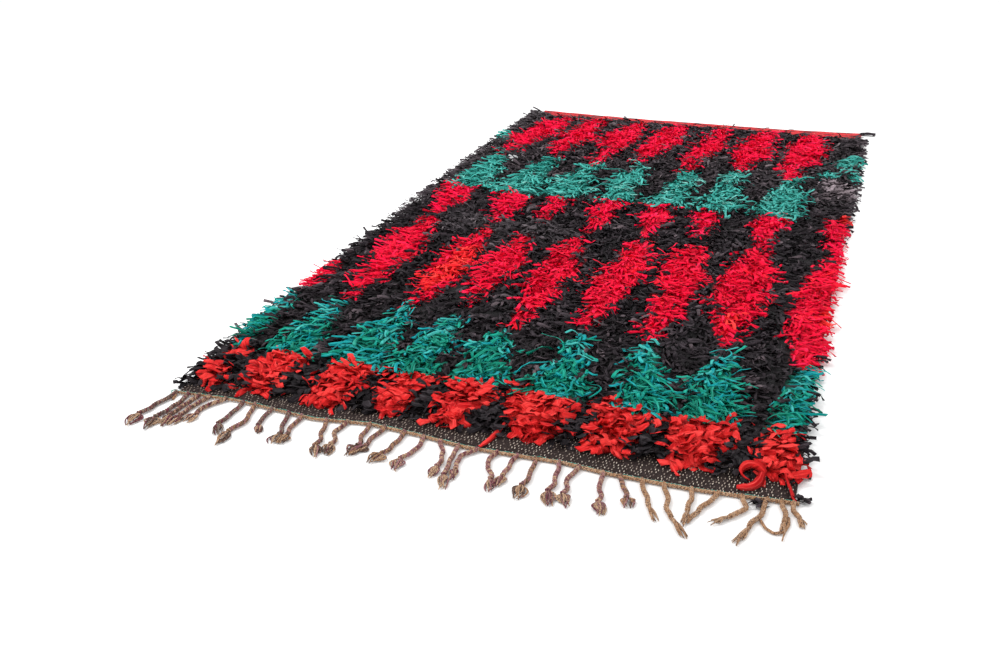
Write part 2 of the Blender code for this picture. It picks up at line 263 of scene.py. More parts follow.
def slab(name, cells, plan, under, top, material):
    """A closed layer: cells laid out by plan(across, along), flat beneath, with top(x, y) as its height."""
    row = cells[0] + 1
    spots = [plan(2.0 * i / cells[0] - 1.0, 2.0 * j / cells[1] - 1.0)
             for j in range(cells[1] + 1) for i in range(row)]
    count = len(spots)
    corners = [j * row + i for j in range(cells[1]) for i in range(cells[0])]
    faces = [(first, first + row, first + row + 1, first + 1) for first in corners]
    faces += [tuple(count + corner for corner in face[::-1]) for face in faces]
    rim = [*range(row - 1), *range(row - 1, count - 1, row), *range(count - 1, count - row, -1),
           *range(count - row, 0, -row)]
    faces += [(first, second, count + second, count + first) for first, second in zip(rim, rim[1:] + rim[:1])]
    mesh = bpy.data.meshes.new(name)
    mesh.from_pydata([(*spot, under) for spot in spots] + [(*spot, top(*spot)) for spot in spots], [], faces)
    mesh.polygons.foreach_set("use_smooth", [True] * len(faces))
    return add_object(mesh, material)


def surface_of(node):
    """A tree for looking up heights on one of the rug's solids."""
    mesh = frame["nodes"][node].data
    points = [tuple(vert.co) for vert in mesh.vertices]
    return BVHTree.FromPolygons(points, [tuple(face.vertices) for face in mesh.polygons])


PILE_SURFACE = surface_of("rag_pile")


def pile_height(x, y, beside=0.012):
    """Height of the pile's solid over a point, or beside it where the point lies off the rim."""
    hit = PILE_SURFACE.ray_cast(Vector((x, y, 0.2)), -UP)[0]
    return hit.z if hit is not None else beside


# The ground. Its rows of cells crowd towards both ends, where the flat weave shows.
GROUND_CELLS = (64, 120)
HALF_LENGTH = 1.55
EDGE_RIPPLE = 0.0025
BESIDE_CORD = 0.0052
CROWDING = 0.36


def ground_plan(across, along):
    y = HALF_LENGTH * along
    left = value_at(LEFT_EDGE, y) + EDGE_RIPPLE * ripple(y, 0.11, 1.0)
    right = value_at(RIGHT_EDGE, y) + EDGE_RIPPLE * ripple(y, 0.12, 2.0)
    x = blend(left, right, 0.5 + 0.5 * across)
    near = value_at(CORD_LINE, x) + BESIDE_CORD
    far = value_at(FAR_EDGE, x) + EDGE_RIPPLE * ripple(x, 0.07, 3.0)
    share = 0.5 + 0.5 * along
    share -= CROWDING * math.sin(FULL_TURN * share) / FULL_TURN
    return x, blend(near, far, min(1.0, max(0.0, share)))


def ground_top(x, y):
    return GROUND_THICKNESS - 0.0005 + 0.0006 * ripple(x * 1.3 + y, 0.06, 21.0)


def make_ground():
    made = slab("ground_weave_cloth", GROUND_CELLS, ground_plan, 0.0, ground_top, ground_cloth())
    made.data.materials.append(heading_cloth())
    for face in made.data.polygons:
        face.material_index = int(face.center.y > HEADING_START)
    return made


# Chart of the pile's motifs. Each row gives a motif's middle, how far along it begins, is widest and ends,
# its half width at those three, and how far it leans to the right. Later rows lie over earlier ones.
CHARCOAL, CRIMSON, ORANGE, GREEN, MAUVE, WHITE, SCARLET, WORN, BLACK = range(9)
Motif = namedtuple("Motif", "dye x low wide high low_half wide_half high_half lean")
CHART = [Motif(dye, *row) for dye, rows in (
    # Broad black rags between the orange-red blocks.
    (BLACK, [
        (0.00, -1.60, -1.42, -1.285, 0.90, 0.90, 0.90, 0.00),
    ]),
    # Charcoal that has worn to grey.
    (WORN, [
        (-0.350, -0.290, -0.200, -0.080, 0.18, 0.27, 0.16, 0.06),
        (-0.778, -0.250, 0.300, 1.480, 0.02, 0.050, 0.060, 0.00),
        (-0.480, 1.200, 1.330, 1.480, 0.22, 0.30, 0.34, 0.00),
        (0.640, 0.860, 1.100, 1.250, 0.03, 0.05, 0.04, 0.00),
    ]),
    # Orange-red blocks along the fringed end.
    (ORANGE, [
        (-0.696, -1.350, -1.325, -1.305, 0.018, 0.028, 0.030, 0.00),
        (-0.688, -1.530, -1.450, -1.405, 0.018, 0.034, 0.034, -0.05),
        (-0.553, -1.52, -1.42, -1.300, 0.036, 0.046, 0.056, 0.00),
        (-0.368, -1.52, -1.42, -1.300, 0.044, 0.056, 0.064, 0.01),
        (-0.205, -1.52, -1.40, -1.290, 0.030, 0.046, 0.058, -0.02),
        (-0.052, -1.52, -1.42, -1.295, 0.040, 0.050, 0.062, 0.01),
        (0.140, -1.53, -1.40, -1.290, 0.056, 0.066, 0.080, -0.01),
        (0.332, -1.53, -1.42, -1.290, 0.046, 0.062, 0.080, 0.00),
        (0.514, -1.53, -1.42, -1.300, 0.044, 0.066, 0.076, 0.00),
        (0.695, -1.54, -1.42, -1.310, 0.040, 0.048, 0.048, 0.00),
    ]),
    # Green stepped triangles that stand on them.
    (GREEN, [
        (-0.742, -1.27, -1.20, -0.93, 0.026, 0.034, 0.020, -0.02),
        (-0.578, -1.31, -1.26, -0.99, 0.076, 0.071, 0.015, -0.02),
        (-0.592, -0.985, -0.97, -0.945, 0.020, 0.026, 0.020, 0.00),
        (-0.390, -1.31, -1.26, -0.90, 0.082, 0.075, 0.007, -0.02),
        (-0.235, -1.31, -1.26, -0.95, 0.068, 0.067, 0.023, 0.00),
        (-0.070, -1.31, -1.26, -0.97, 0.074, 0.071, 0.009, -0.04),
        (0.135, -1.32, -1.26, -0.95, 0.072, 0.065, 0.011, -0.03),
        (0.328, -1.32, -1.26, -0.93, 0.074, 0.067, 0.009, -0.06),
        (0.505, -1.32, -1.26, -0.96, 0.078, 0.069, 0.017, -0.02),
        (0.700, -1.32, -1.26, -0.95, 0.040, 0.034, 0.026, 0.03),
    ]),
    (CHARCOAL, [
        (0.762, -1.42, -1.32, -1.18, 0.034, 0.052, 0.034, 0.00),
    ]),
    # Long crimson lozenges.
    (CRIMSON, [
        (-0.755, -0.87, -0.80, -0.62, 0.030, 0.034, 0.016, 0.00),
        (-0.606, -0.93, -0.49, -0.13, 0.010, 0.070, 0.014, -0.06),
        (-0.396, -0.92, -0.56, -0.20, 0.010, 0.073, 0.010, -0.03),
        (-0.248, -0.86, -0.50, -0.23, 0.010, 0.063, 0.012, -0.02),
        (-0.078, -0.97, -0.52, -0.19, 0.008, 0.069, 0.012, -0.01),
        (0.122, -0.93, -0.52, -0.17, 0.008, 0.069, 0.014, 0.00),
        (0.300, -0.94, -0.50, -0.16, 0.008, 0.071, 0.034, -0.01),
        (0.490, -0.92, -0.52, -0.15, 0.010, 0.085, 0.036, -0.01),
        (0.712, -0.98, -0.53, -0.14, 0.016, 0.091, 0.022, 0.02),
    ]),
    (SCARLET, [
        (-0.388, -0.780, -0.600, -0.400, 0.016, 0.050, 0.022, 0.02),
        (0.742, -0.680, -0.620, -0.560, 0.018, 0.026, 0.018, 0.00),
        (0.488, -0.800, -0.740, -0.690, 0.008, 0.014, 0.010, 0.00),
    ]),
    # Crimson triangles on their points.
    (CRIMSON, [
        (-0.644, -0.16, 0.14, 0.24, 0.010, 0.063, 0.062, -0.03),
        (-0.420, -0.15, 0.13, 0.20, 0.010, 0.067, 0.066, -0.03),
        (-0.252, -0.12, 0.14, 0.22, 0.008, 0.044, 0.062, -0.01),
        (-0.076, -0.18, 0.14, 0.23, 0.006, 0.048, 0.058, 0.00),
        (0.112, -0.14, 0.14, 0.22, 0.006, 0.044, 0.054, 0.00),
        (0.292, -0.10, 0.14, 0.21, 0.008, 0.040, 0.046, -0.01),
        (0.496, -0.15, 0.14, 0.22, 0.006, 0.061, 0.070, 0.00),
        (0.722, -0.17, 0.08, 0.23, 0.016, 0.028, 0.040, -0.03),
    ]),
    # Green stepped triangles of the far half, on a joined foot.
    (GREEN, [
        (-0.640, 0.22, 0.30, 0.70, 0.074, 0.068, 0.015, -0.03),
        (-0.440, 0.19, 0.30, 0.71, 0.092, 0.076, 0.013, 0.02),
        (-0.258, 0.20, 0.30, 0.68, 0.082, 0.072, 0.013, 0.04),
        (-0.075, 0.22, 0.30, 0.71, 0.084, 0.074, 0.013, -0.01),
        (0.122, 0.22, 0.30, 0.70, 0.084, 0.070, 0.019, 0.01),
        (0.300, 0.22, 0.31, 0.76, 0.080, 0.064, 0.015, 0.00),
        (0.514, 0.22, 0.31, 0.74, 0.088, 0.079, 0.013, 0.02),
    ]),
    # Crimson lozenges of the far row.
    (CRIMSON, [
        (-0.618, 0.67, 1.09, 1.41, 0.010, 0.084, 0.012, 0.10),
        (-0.432, 0.72, 1.08, 1.41, 0.008, 0.076, 0.020, 0.03),
        (-0.246, 0.66, 1.10, 1.39, 0.010, 0.072, 0.016, 0.03),
        (-0.066, 0.72, 1.09, 1.45, 0.012, 0.076, 0.012, 0.08),
        (0.134, 0.67, 1.09, 1.44, 0.016, 0.066, 0.012, 0.04),
        (0.326, 0.72, 1.08, 1.46, 0.014, 0.084, 0.014, 0.05),
        (0.525, 0.68, 1.09, 1.47, 0.014, 0.088, 0.022, 0.05),
    ]),
    # Odd patches where other rags were used up.
    (GREEN, [
        (0.702, 0.89, 0.97, 1.05, 0.020, 0.044, 0.026, 0.02),
        (0.652, 0.74, 0.78, 0.83, 0.030, 0.034, 0.016, 0.06),
        (0.745, 0.72, 0.80, 0.86, 0.014, 0.020, 0.014, 0.00),
        (-0.755, 0.95, 1.01, 1.07, 0.032, 0.036, 0.020, -0.04),
    ]),
    (MAUVE, [
        (0.690, 0.53, 0.62, 0.72, 0.038, 0.052, 0.034, -0.08),
    ]),
    (ORANGE, [
        (0.738, 0.22, 0.25, 0.28, 0.020, 0.026, 0.014, 0.00),
    ]),
    (WHITE, [
        (-0.592, 0.607, 0.62, 0.633, 0.010, 0.014, 0.010, 0.00),
    ]),
) for row in rows]

# How round a motif's sides are. Those not named are at 1.2.
ROUNDNESS = {GREEN: 1.1, ORANGE: 1.0, MAUVE: 1.5, WHITE: 1.5, WORN: 1.5, BLACK: 1.0}
# How far the rags of a dye lie out over their neighbours, past the motif that they are knotted in.
OVERREACH = {CRIMSON: 0.0040, GREEN: 0.0045, ORANGE: 0.0045}


def dye_at(x, y):
    """Which rag the chart gives at each point, as an array."""
    dye = np.full(len(x), CHARCOAL)
    for motif in CHART:
        middle = 0.5 * (motif.low + motif.high)
        centre = motif.x + motif.lean * (y - middle) / (motif.high - motif.low)
        power = ROUNDNESS.get(motif.dye, 1.2)
        below = np.clip((motif.wide - y) / (motif.wide - motif.low), 0.0, 1.0) ** power
        above = np.clip((y - motif.wide) / (motif.high - motif.wide), 0.0, 1.0) ** power
        half = (motif.wide_half - (motif.wide_half - motif.low_half) * below
                - (motif.wide_half - motif.high_half) * above)
        half = half - OVERREACH.get(motif.dye, 0.0)
        inside = (np.abs(x - centre) < half) & (y > motif.low) & (y < motif.high)
        dye[inside] = motif.dye
    return dye


# The rag pile. cuts: how many strips are modelled; segments: stations along each; sides: corners of its
# section; rise and fall: its slope at the root and the tip, and curl and roll how far it turns on its
# way, in degrees; width: as a share of its length; fold: how thick it is for its width.
RagCut = namedtuple("RagCut", "name cuts segments sides rise fall curl roll width fold")
JERSEY = RagCut("jersey", 18, 4, 3, (8, 40), (-26, 18), 78, 70, 0.125, 0.22)
SOFT = RagCut("soft", 20, 4, 3, (8, 50), (-32, 22), 110, 80, 0.20, 0.18)
BROAD = RagCut("broad", 18, 5, 4, (6, 46), (-30, 26), 95, 75, 0.27, 0.15)
STRINGY = RagCut("stringy", 18, 5, 3, (10, 46), (-26, 20), 100, 90, 0.115, 0.24)
ROOT_WIDTH = 0.80
RAGGED_WIDTH = 0.16
CRUMPLE = 42
CRUMPLES = 2.5
ACROSS_AT = {3: (0.0, 1.0, 0.5), 4: (0.0, 0.5, 1.0, 0.5)}


def section_of(cut, dice):
    """Corners of a strip's section, for half its width."""
    ridge = dice.uniform(-0.35, 0.35)
    if cut.sides == 3:
        return [(-1.0, 0.0), (1.0, 0.0), (ridge, 2.0 * cut.fold)]
    dip = dice.uniform(-1.4, 1.4) * cut.fold
    return [(-1.0, dip), (0.1, -0.5 * cut.fold), (1.0, -dip), (ridge, 1.5 * cut.fold)]


def rag_variant(cut, dice, index):
    """One strip a unit long that rises from its root, falls over and curls on its way."""
    bm = bmesh.new()
    lay = bm.loops.layers.uv.new("lay")
    along = bm.verts.layers.float.new("along")
    across_strip = bm.verts.layers.float.new("across")
    point = np.zeros(3)
    rise, fall = dice.uniform(*cut.rise), dice.uniform(*cut.fall)
    curl, roll = dice.uniform(-cut.curl, cut.curl), dice.uniform(-cut.roll, cut.roll)
    wave = dice.uniform(-CRUMPLE, CRUMPLE)
    bend = dice.uniform(0.0, FULL_TURN)
    rings = []
    for step in range(cut.segments + 1):
        share = step / cut.segments
        crumple = wave * math.sin(CRUMPLES * math.pi * share + bend)
        pitch = math.radians(blend(rise, fall, share ** 0.8) + crumple)
        yaw = math.radians(curl * (share - 0.35))
        heading = np.array([math.cos(pitch) * math.cos(yaw), math.cos(pitch) * math.sin(yaw),
                            math.sin(pitch)])
        if step:
            point = point + heading / cut.segments
        across = np.array([-math.sin(yaw), math.cos(yaw), 0.0])
        over = np.cross(heading, across)
        turn = math.radians(roll * share)
        across, over = (across * math.cos(turn) + over * math.sin(turn),
                        over * math.cos(turn) - across * math.sin(turn))
        half = 0.5 * cut.width * blend(ROOT_WIDTH, 1.0, math.sin(math.pi * min(0.5, share)))
        half *= 1.0 + dice.uniform(-RAGGED_WIDTH, RAGGED_WIDTH)
        ring = [bm.verts.new(point + (across * a + over * b) * half) for a, b in section_of(cut, dice)]
        for vert, reach in zip(ring, ACROSS_AT[cut.sides]):
            vert[along], vert[across_strip] = share, reach
        rings.append(ring)
    for step, (ring, onward) in enumerate(zip(rings, rings[1:])):
        for side, after in zip(range(cut.sides), (*range(1, cut.sides), 0)):
            face = bm.faces.new((ring[side], ring[after], onward[after], onward[side]))
            for loop, (u, v) in zip(face.loops, SQUARE):
                loop[lay].uv = ((side + u) / cut.sides, 0.05 + 0.9 * (step + v) / cut.segments)
        for first, second in zip(ring, onward):
            bm.edges.get((first, second)).smooth = False
    for ring, v in ((rings[0][::-1], 0.0), (rings[-1], 0.95)):
        face = bm.faces.new(ring)
        for number, loop in enumerate(face.loops):
            loop[lay].uv = (0.2 + 0.3 * (number % 2), v + 0.05 * (number // 2))
    bmesh.ops.recalc_face_normals(bm, faces=bm.faces)
    return modelled(bm, f"{cut.name}_{index:02d}")


def modelled(bm, name):
    """A strip for the node trees to place, kept out of the scene."""
    return bpy.data.objects.new(name, mesh_of(bm, name))


def rag_tree(cut, variants):
    """Nodes that set a cut of rag on every root, each turned, sized and tinted by its root."""
    tree = bpy.data.node_groups.new(f"{cut.name} rags", "GeometryNodeTree")
    for name, kind in (("Roots", "Geometry"), ("Rag size", "Float"), ("Cells across", "Float"),
                       ("Cloth", "Material")):
        tree.interface.new_socket(name, in_out="INPUT", socket_type=f"NodeSocket{kind}")
    tree.interface.new_socket("Rags", in_out="OUTPUT", socket_type="NodeSocketGeometry")
    entry = tree.nodes.new("NodeGroupInput").outputs

    def named(name, kind="FLOAT_VECTOR"):
        return add_node(tree, "GeometryNodeInputNamedAttribute", {"Name": name}, "Attribute", data_type=kind)

    def vector(operation, inputs):
        return add_node(tree, "ShaderNodeVectorMath", inputs, operation=operation)

    rags = add_node(tree, "GeometryNodeCollectionInfo", {
        "Collection": variants, "Separate Children": True, "Reset Children": True})
    turn = add_node(tree, "FunctionNodeEulerToRotation", {"Euler": named("turn")})
    size = vector("SCALE", {0: named("size"), "Scale": entry["Rag size"]})
    placed = add_node(tree, "GeometryNodeInstanceOnPoints", {
        "Points": entry["Roots"], "Instance": rags, "Pick Instance": True,
        "Instance Index": named("kind", "INT"), "Rotation": turn, "Scale": size})
    real = add_node(tree, "GeometryNodeRealizeInstances", {"Geometry": placed})
    inner = vector("MULTIPLY_ADD", {0: named("lay"), 1: (0.9, 0.9, 0.0), 2: (0.05, 0.05, 0.0)})
    width = add_node(tree, "ShaderNodeMath", {0: 1.0, 1: entry["Cells across"]}, operation="DIVIDE")
    cell = vector("SCALE", {0: vector("ADD", {0: named("cell"), 1: inner}), "Scale": width})
    laid = add_node(tree, "GeometryNodeStoreNamedAttribute", {"Geometry": real, "Name": BAKED, "Value": cell},
                    data_type="FLOAT2", domain="CORNER")
    dressed = add_node(tree, "GeometryNodeSetMaterial", {"Geometry": laid, "Material": entry["Cloth"]})
    tree.links.new(dressed, tree.nodes.new("NodeGroupOutput").inputs["Rags"])
    return tree


# Where the rags of a piece are rooted, and each one's turn, size, kind of strip and tint.
Roots = namedtuple("Roots", "place turn size kind tint")


def roots_mesh(name, roots):
    """A point for each root, with what its rag needs to know, and how many bake cells stand in a row."""
    mesh = bpy.data.meshes.new(name)
    count = len(roots.place)
    mesh.vertices.add(count)
    mesh.vertices.foreach_set("co", roots.place.astype(np.float32).ravel())
    across = math.ceil(math.sqrt(count))
    order = np.arange(count)
    cell = np.stack([order % across, order // across, np.zeros(count)], axis=1)
    for title, kind, key, value in (
        ("turn", "FLOAT_VECTOR", "vector", roots.turn), ("size", "FLOAT_VECTOR", "vector", roots.size),
        ("cell", "FLOAT_VECTOR", "vector", cell), ("kind", "INT", "value", roots.kind),
        ("tint", "FLOAT", "value", roots.tint),
    ):
        made = mesh.attributes.new(title, kind, "POINT")
        made.data.foreach_set(key, np.asarray(value, np.int32 if kind == "INT" else np.float32).ravel())
    return mesh, across


LOWEST_ON_GROUND = GROUND_THICKNESS + 0.0008
SETTLING_ROOM = 0.004
PRESSED_FROM = 0.036
PRESS = 0.011


def settle(mesh):
    """Lifts what would sink under the floor or the ground, and flattens what stands too high."""
    points = np.empty(len(mesh.vertices) * 3, np.float32)
    mesh.vertices.foreach_get("co", points)
    points = points.reshape(-1, 3)
    x, y, z = points[:, 0], points[:, 1], points[:, 2]
    on_ground = ((x > value_at(LEFT_EDGE, y) - 0.001) & (x < value_at(RIGHT_EDGE, y) + 0.001)
                 & (y > value_at(CORD_LINE, x)) & (y < value_at(FAR_EDGE, x)))
    low = np.where(on_ground, LOWEST_ON_GROUND, FLOOR_GAP)
    above = (z - low) / SETTLING_ROOM
    z = low + SETTLING_ROOM * np.where(above > 1.0, above, np.exp(np.minimum(above - 1.0, 0.0)))
    over = np.maximum(z - PRESSED_FROM, 0.0) / PRESS
    points[:, 2] = np.where(over > 0.0, PRESSED_FROM + PRESS * (1.0 - np.exp(-over)), z)
    mesh.vertices.foreach_set("co", points.ravel())


def grow_rags(name, tree, material, roots):
    """One finished piece of pile from its roots."""
    mesh, across = roots_mesh(name + "_roots", roots)
    carrier = add_object(mesh)
    modifier = carrier.modifiers.new("rags", "NODES")
    modifier.node_group = tree
    wanted = {"Rag size": 1.0, "Cells across": float(across), "Cloth": material}
    for item in tree.interface.items_tree:
        if item.item_type == "SOCKET" and item.in_out == "INPUT" and item.name in wanted:
            modifier[item.identifier] = wanted[item.name]
    graph = bpy.context.evaluated_depsgraph_get()
    grown = bpy.data.meshes.new_from_object(carrier.evaluated_get(graph), preserve_all_data_layers=True,
                                            depsgraph=graph)
    bpy.data.objects.remove(carrier)
    for title in ("turn", "size", "cell", "kind", "lay"):
        if title in grown.attributes:
            grown.attributes.remove(grown.attributes[title])
    settle(grown)
    grown.name = name
    return add_object(grown)


# share: how many of the fine grid of roots carry a rag; length and width in metres;
# depth: how far below the pile's surface a rag is rooted; spread: its usual stray off the nap, degrees.
Pile = namedtuple("Pile", "cut share length width depth spread")
DARK_PILE = Pile(SOFT, 0.565, (0.038, 0.068), (0.0050, 0.0120), 0.0125, 40)
RED_PILE = Pile(JERSEY, 0.84, (0.044, 0.076), (0.0060, 0.0104), 0.0125, 33)
PILES = {
    CHARCOAL: DARK_PILE, WORN: DARK_PILE, SCARLET: RED_PILE, CRIMSON: RED_PILE,
    BLACK: Pile(BROAD, 0.62, (0.034, 0.054), (0.009, 0.019), 0.0130, 34),
    ORANGE: Pile(BROAD, 0.80, (0.038, 0.064), (0.011, 0.023), 0.0120, 44),
    GREEN: Pile(STRINGY, 0.90, (0.048, 0.084), (0.0048, 0.0088), 0.0125, 27),
    MAUVE: Pile(SOFT, 0.66, (0.040, 0.060), (0.009, 0.014), 0.0120, 34),
    WHITE: Pile(SOFT, 1.00, (0.030, 0.040), (0.008, 0.012), 0.0060, 50),
}
# The grid of roots, and how far in front of its root a rag is seen.
ROOT_SPACING = 0.0105
ROOTS_ACROSS = (-0.785, 0.775)
ROOTS_ALONG = (PILE_START - 0.070, PILE_END + 0.115)
SEEN_AHEAD = 0.018
# How motifs stray from the chart: in drifts of many rags, and rag by rag across and along.
MOTIF_DRIFT = 0.010
MOTIF_STRAY = 0.003
MOTIF_FRAY = 0.006
DRIFT_LUMPS = (0.050, 0.070, 5.0)
SWIRL_LUMPS = (0.110, 0.130, 9.0)
CLOTH_LUMPS = (0.055, 0.075, 31.0)
LAST_SEEN = 1.46
# Where the pile ends on each side. The limits of its sides are added to the ground's edges.
LEFT_REACH = [(-1.35, 0.004), (-1.2, 0.016), (-0.2, 0.018), (0.2, 0.026)]
RIGHT_INSET = 0.014
CRIMSON_INSET = 0.008
RIGHT_REACH = [(0.0, 0.0), (0.4, 0.016)]
NEAR_LIMIT = [(-0.755, -1.530), (-0.735, -1.510), (-0.700, PILE_START - 0.014)]
FAR_LIMIT = [(-0.720, 1.535), (-0.660, PILE_END + 0.046)]
# Ways of lying, in degrees: the nap fans out to both sides, swirls, and points outwards at the rims.
NAP = -90.0
FAN = 50.0
FAN_HALF_WIDTH = 0.75
SWIRL = 85.0
RIM_BAND = 0.030
LEFT_RIM_LIE = [(-1.45, -116.0), (-1.30, -154.0)]
RIGHT_RIM_LIE = -32.0
RIM_LENGTH = (0.030, 0.052)
# Stragglers, shorter greens beside the orange blocks, and rags that lie lower at the far end.
LONG_SHARE = 0.06
LONG_REACH = 1.7
LONG_UNTIL = 0.35
STRAGGLE_FROM = -0.66
GREEN_FOOT = [(-1.31, 0.70), (-1.22, 1.00)]
END_RISE = [(PILE_END, 0.9), (PILE_END + 0.040, 0.45)]
GREEN_TINT_SHIFT = [(-1.20, -0.08), (-1.05, 0.20)]
TILT = (0.22, 0.16)
OWN_TINT = 0.80
CLOTH_TINT = 0.60


def all_roots():
    """Roots over the whole pile, each with its place, its way of lying and its rag."""
    dice = np.random.default_rng(29)
    x, y = (grid.ravel() for grid in np.meshgrid(np.arange(*ROOTS_ACROSS, ROOT_SPACING),
                                                 np.arange(*ROOTS_ALONG, ROOT_SPACING)))
    x = x + dice.uniform(-0.5, 0.5, len(x)) * ROOT_SPACING
    y = y + dice.uniform(-0.5, 0.5, len(y)) * ROOT_SPACING
    drift = clouds(x, y, *DRIFT_LUMPS)
    swirl = clouds(x, y, *SWIRL_LUMPS)
    stray = dice.normal(0.0, MOTIF_STRAY, len(x))
    fan = FAN * x / FAN_HALF_WIDTH
    aside = SEEN_AHEAD * np.sin(np.radians(fan)) + MOTIF_DRIFT * drift + stray
    seen = np.minimum(y - SEEN_AHEAD * np.cos(np.radians(fan)), LAST_SEEN)
    dye = dye_at(x + aside, seen + dice.normal(0.0, MOTIF_FRAY, len(x)))
    left = value_at(LEFT_EDGE, y) - value_at(LEFT_REACH, y)
    right = value_at(RIGHT_EDGE, y) - np.where(dye == CRIMSON, CRIMSON_INSET, RIGHT_INSET)
    right += value_at(RIGHT_REACH, y)
    lie = NAP + fan + SWIRL * swirl
    left_rim, right_rim = x - left < RIM_BAND, right - x < RIM_BAND
    lie = np.where(left_rim, value_at(LEFT_RIM_LIE, y), lie)
    lie = np.where(right_rim, RIGHT_RIM_LIE, lie)
    inside = (x > left) & (x < right) & (y > value_at(NEAR_LIMIT, x)) & (y < value_at(FAR_LIMIT, x))
    return dice, *(column[inside] for column in (x, y, dye, lie, left_rim | right_rim))


def make_cuts():
    """Node trees with their modelled strips, one for each cut of cloth."""
    cuts = {}
    for cut, model in ((JERSEY, rag_variant), (SOFT, rag_variant), (BROAD, rag_variant),
                       (STRINGY, rag_variant), (FLECK, fleck_variant)):
        variants = bpy.data.collections.new(f"{cut.name} cuts")
        dice = np.random.default_rng(3)
        for index in range(cut.cuts):
            variants.objects.link(model(cut, dice, index))
        cuts[cut.name] = rag_tree(cut, variants), variants
    return cuts


def clear_cuts(cuts):
    """Removes the modelled strips and their node trees once every piece is grown."""
    for tree, variants in cuts.values():
        for rag in list(variants.objects):
            bpy.data.objects.remove(rag)
        bpy.data.collections.remove(variants)
        bpy.data.node_groups.remove(tree)


def tints(x, y, dice):
    """Tint of each rag: its own, and that of the cloth its neighbours were cut from."""
    cloth = clouds(x, y, *CLOTH_LUMPS)
    return np.clip(0.5 + OWN_TINT * (dice.random(len(x)) - 0.5) + CLOTH_TINT * cloth, 0.0, 1.0)


def make_pile(cuts):
    """The pieces of the pile, a dye and a stretch of the rug in each."""
    dice, *columns = all_roots()
    made = []
    for name, kind, low, high, material in PILE_PIECES:
        pile = PILES[kind]
        x, y, dye, _, rim = columns
        mine = np.nonzero((dye == kind) & (y >= low) & (y < high))[0]
        mine = mine[dice.random(len(mine)) < np.where(rim[mine], 1.0, pile.share)]
        x, y, dye, lie, rim = (column[mine] for column in columns)
        count = len(mine)
        length = np.where(rim, dice.uniform(*RIM_LENGTH, count), dice.uniform(*pile.length, count))
        straggles = rim & (x > 0.0) & (y < LONG_UNTIL)
        if kind == GREEN:
            straggles |= ~rim & (x > STRAGGLE_FROM)
        length = length * np.where(straggles & (dice.random(count) < LONG_SHARE), LONG_REACH, 1.0)
        if kind == GREEN:
            length = length * value_at(GREEN_FOOT, y)
        width = dice.uniform(*pile.width, count)
        stray = pile.spread * dice.normal(0.0, 1.0, count) * np.where(rim, 0.5, 1.0)
        tops = np.array([pile_height(a, b) for a, b in zip(x, y)])
        root = np.maximum(tops - pile.depth, GROUND_THICKNESS + 0.001)
        tilts = [dice.normal(0.0, tilt, count) for tilt in TILT]
        tint = tints(x, y, dice)
        if name == "green_rags_near":
            tint = np.clip(tint + value_at(GREEN_TINT_SHIFT, y), 0.0, 1.0)
        roots = Roots(np.stack([x, y, root], axis=1), np.stack([*tilts, np.radians(lie + stray)], axis=1),
                      np.stack([length, width / pile.cut.width, length * value_at(END_RISE, y)], axis=1),
                      dice.integers(0, pile.cut.cuts, count), tint)
        made.append(grow_rags(name, cuts[pile.cut.name][0], material(), roots))
    return made


# The cloths of the pile: tints from dark to pale, the colour of the painted highlight on the folds, and the
# painted shade at the root and painted light at the tip.
def crimson_rag():
    tints = [(0.0, (0.50, 0.0004, 0.018)), (0.35, (0.76, 0.0006, 0.030)), (0.75, (0.92, 0.0012, 0.042)),
             (0.93, (1.00, 0.016, 0.085)), (1.0, (1.00, 0.014, 0.036))]
    return rag_cloth("crimson jersey", tints, (0.88, 0.054, 0.100), 0.90, 1.12)


# Painted light: a lighter, pinker copy of the crimson for the far rows, its lightness painted for the brighter
# light at the far end.
def far_lit_crimson_rag():
    tints = [(0.0, (0.58, 0.0003, 0.022)), (0.35, (0.82, 0.0004, 0.036)), (0.75, (0.96, 0.0008, 0.056)),
             (0.93, (1.00, 0.018, 0.110)), (1.0, (1.00, 0.012, 0.050))]
    return rag_cloth("rose red jersey", tints, (0.92, 0.044, 0.105), 0.88, 1.10)


def orange_rag():
    tints = [(0.0, (0.48, 0.007, 0.010)), (0.5, (0.66, 0.016, 0.017)), (1.0, (0.84, 0.046, 0.042))]
    return rag_cloth("orange red cotton", tints, (0.84, 0.100, 0.090), 0.66, 1.10)


def green_rag():
    tints = [(0.0, (0.000, 0.160, 0.105)), (0.25, (0.001, 0.240, 0.155)), (0.50, (0.006, 0.330, 0.235)),
             (0.70, (0.000, 0.270, 0.315)), (0.88, (0.010, 0.370, 0.380)), (1.0, (0.060, 0.470, 0.430))]
    return rag_cloth("green and blue cotton", tints, (0.090, 0.480, 0.410), 0.60, 1.10)


def pale_green_rag():
    tints = [(0.0, (0.010, 0.235, 0.195)), (0.35, (0.038, 0.355, 0.305)), (0.75, (0.064, 0.430, 0.375)),
             (0.95, (0.120, 0.520, 0.460)), (1.0, (0.220, 0.600, 0.530))]
    return rag_cloth("sea green cotton", tints, (0.160, 0.580, 0.510), 0.62, 1.12)


def charcoal_rag():
    tints = [(0.0, (0.007, 0.0054, 0.0066)), (0.5, (0.016, 0.0124, 0.0154)), (0.85, (0.040, 0.031, 0.037)),
             (1.0, (0.105, 0.080, 0.090))]
    return rag_cloth("charcoal jersey", tints, (0.086, 0.070, 0.079), 0.36, 1.45, specular=0.12, patches=0.45)


def black_rag():
    tints = [(0.0, (0.006, 0.0048, 0.0058)), (0.5, (0.013, 0.0104, 0.0124)), (1.0, (0.034, 0.027, 0.031))]
    return rag_cloth("black cotton", tints, (0.066, 0.056, 0.062), 0.40, 1.40, specular=0.12)
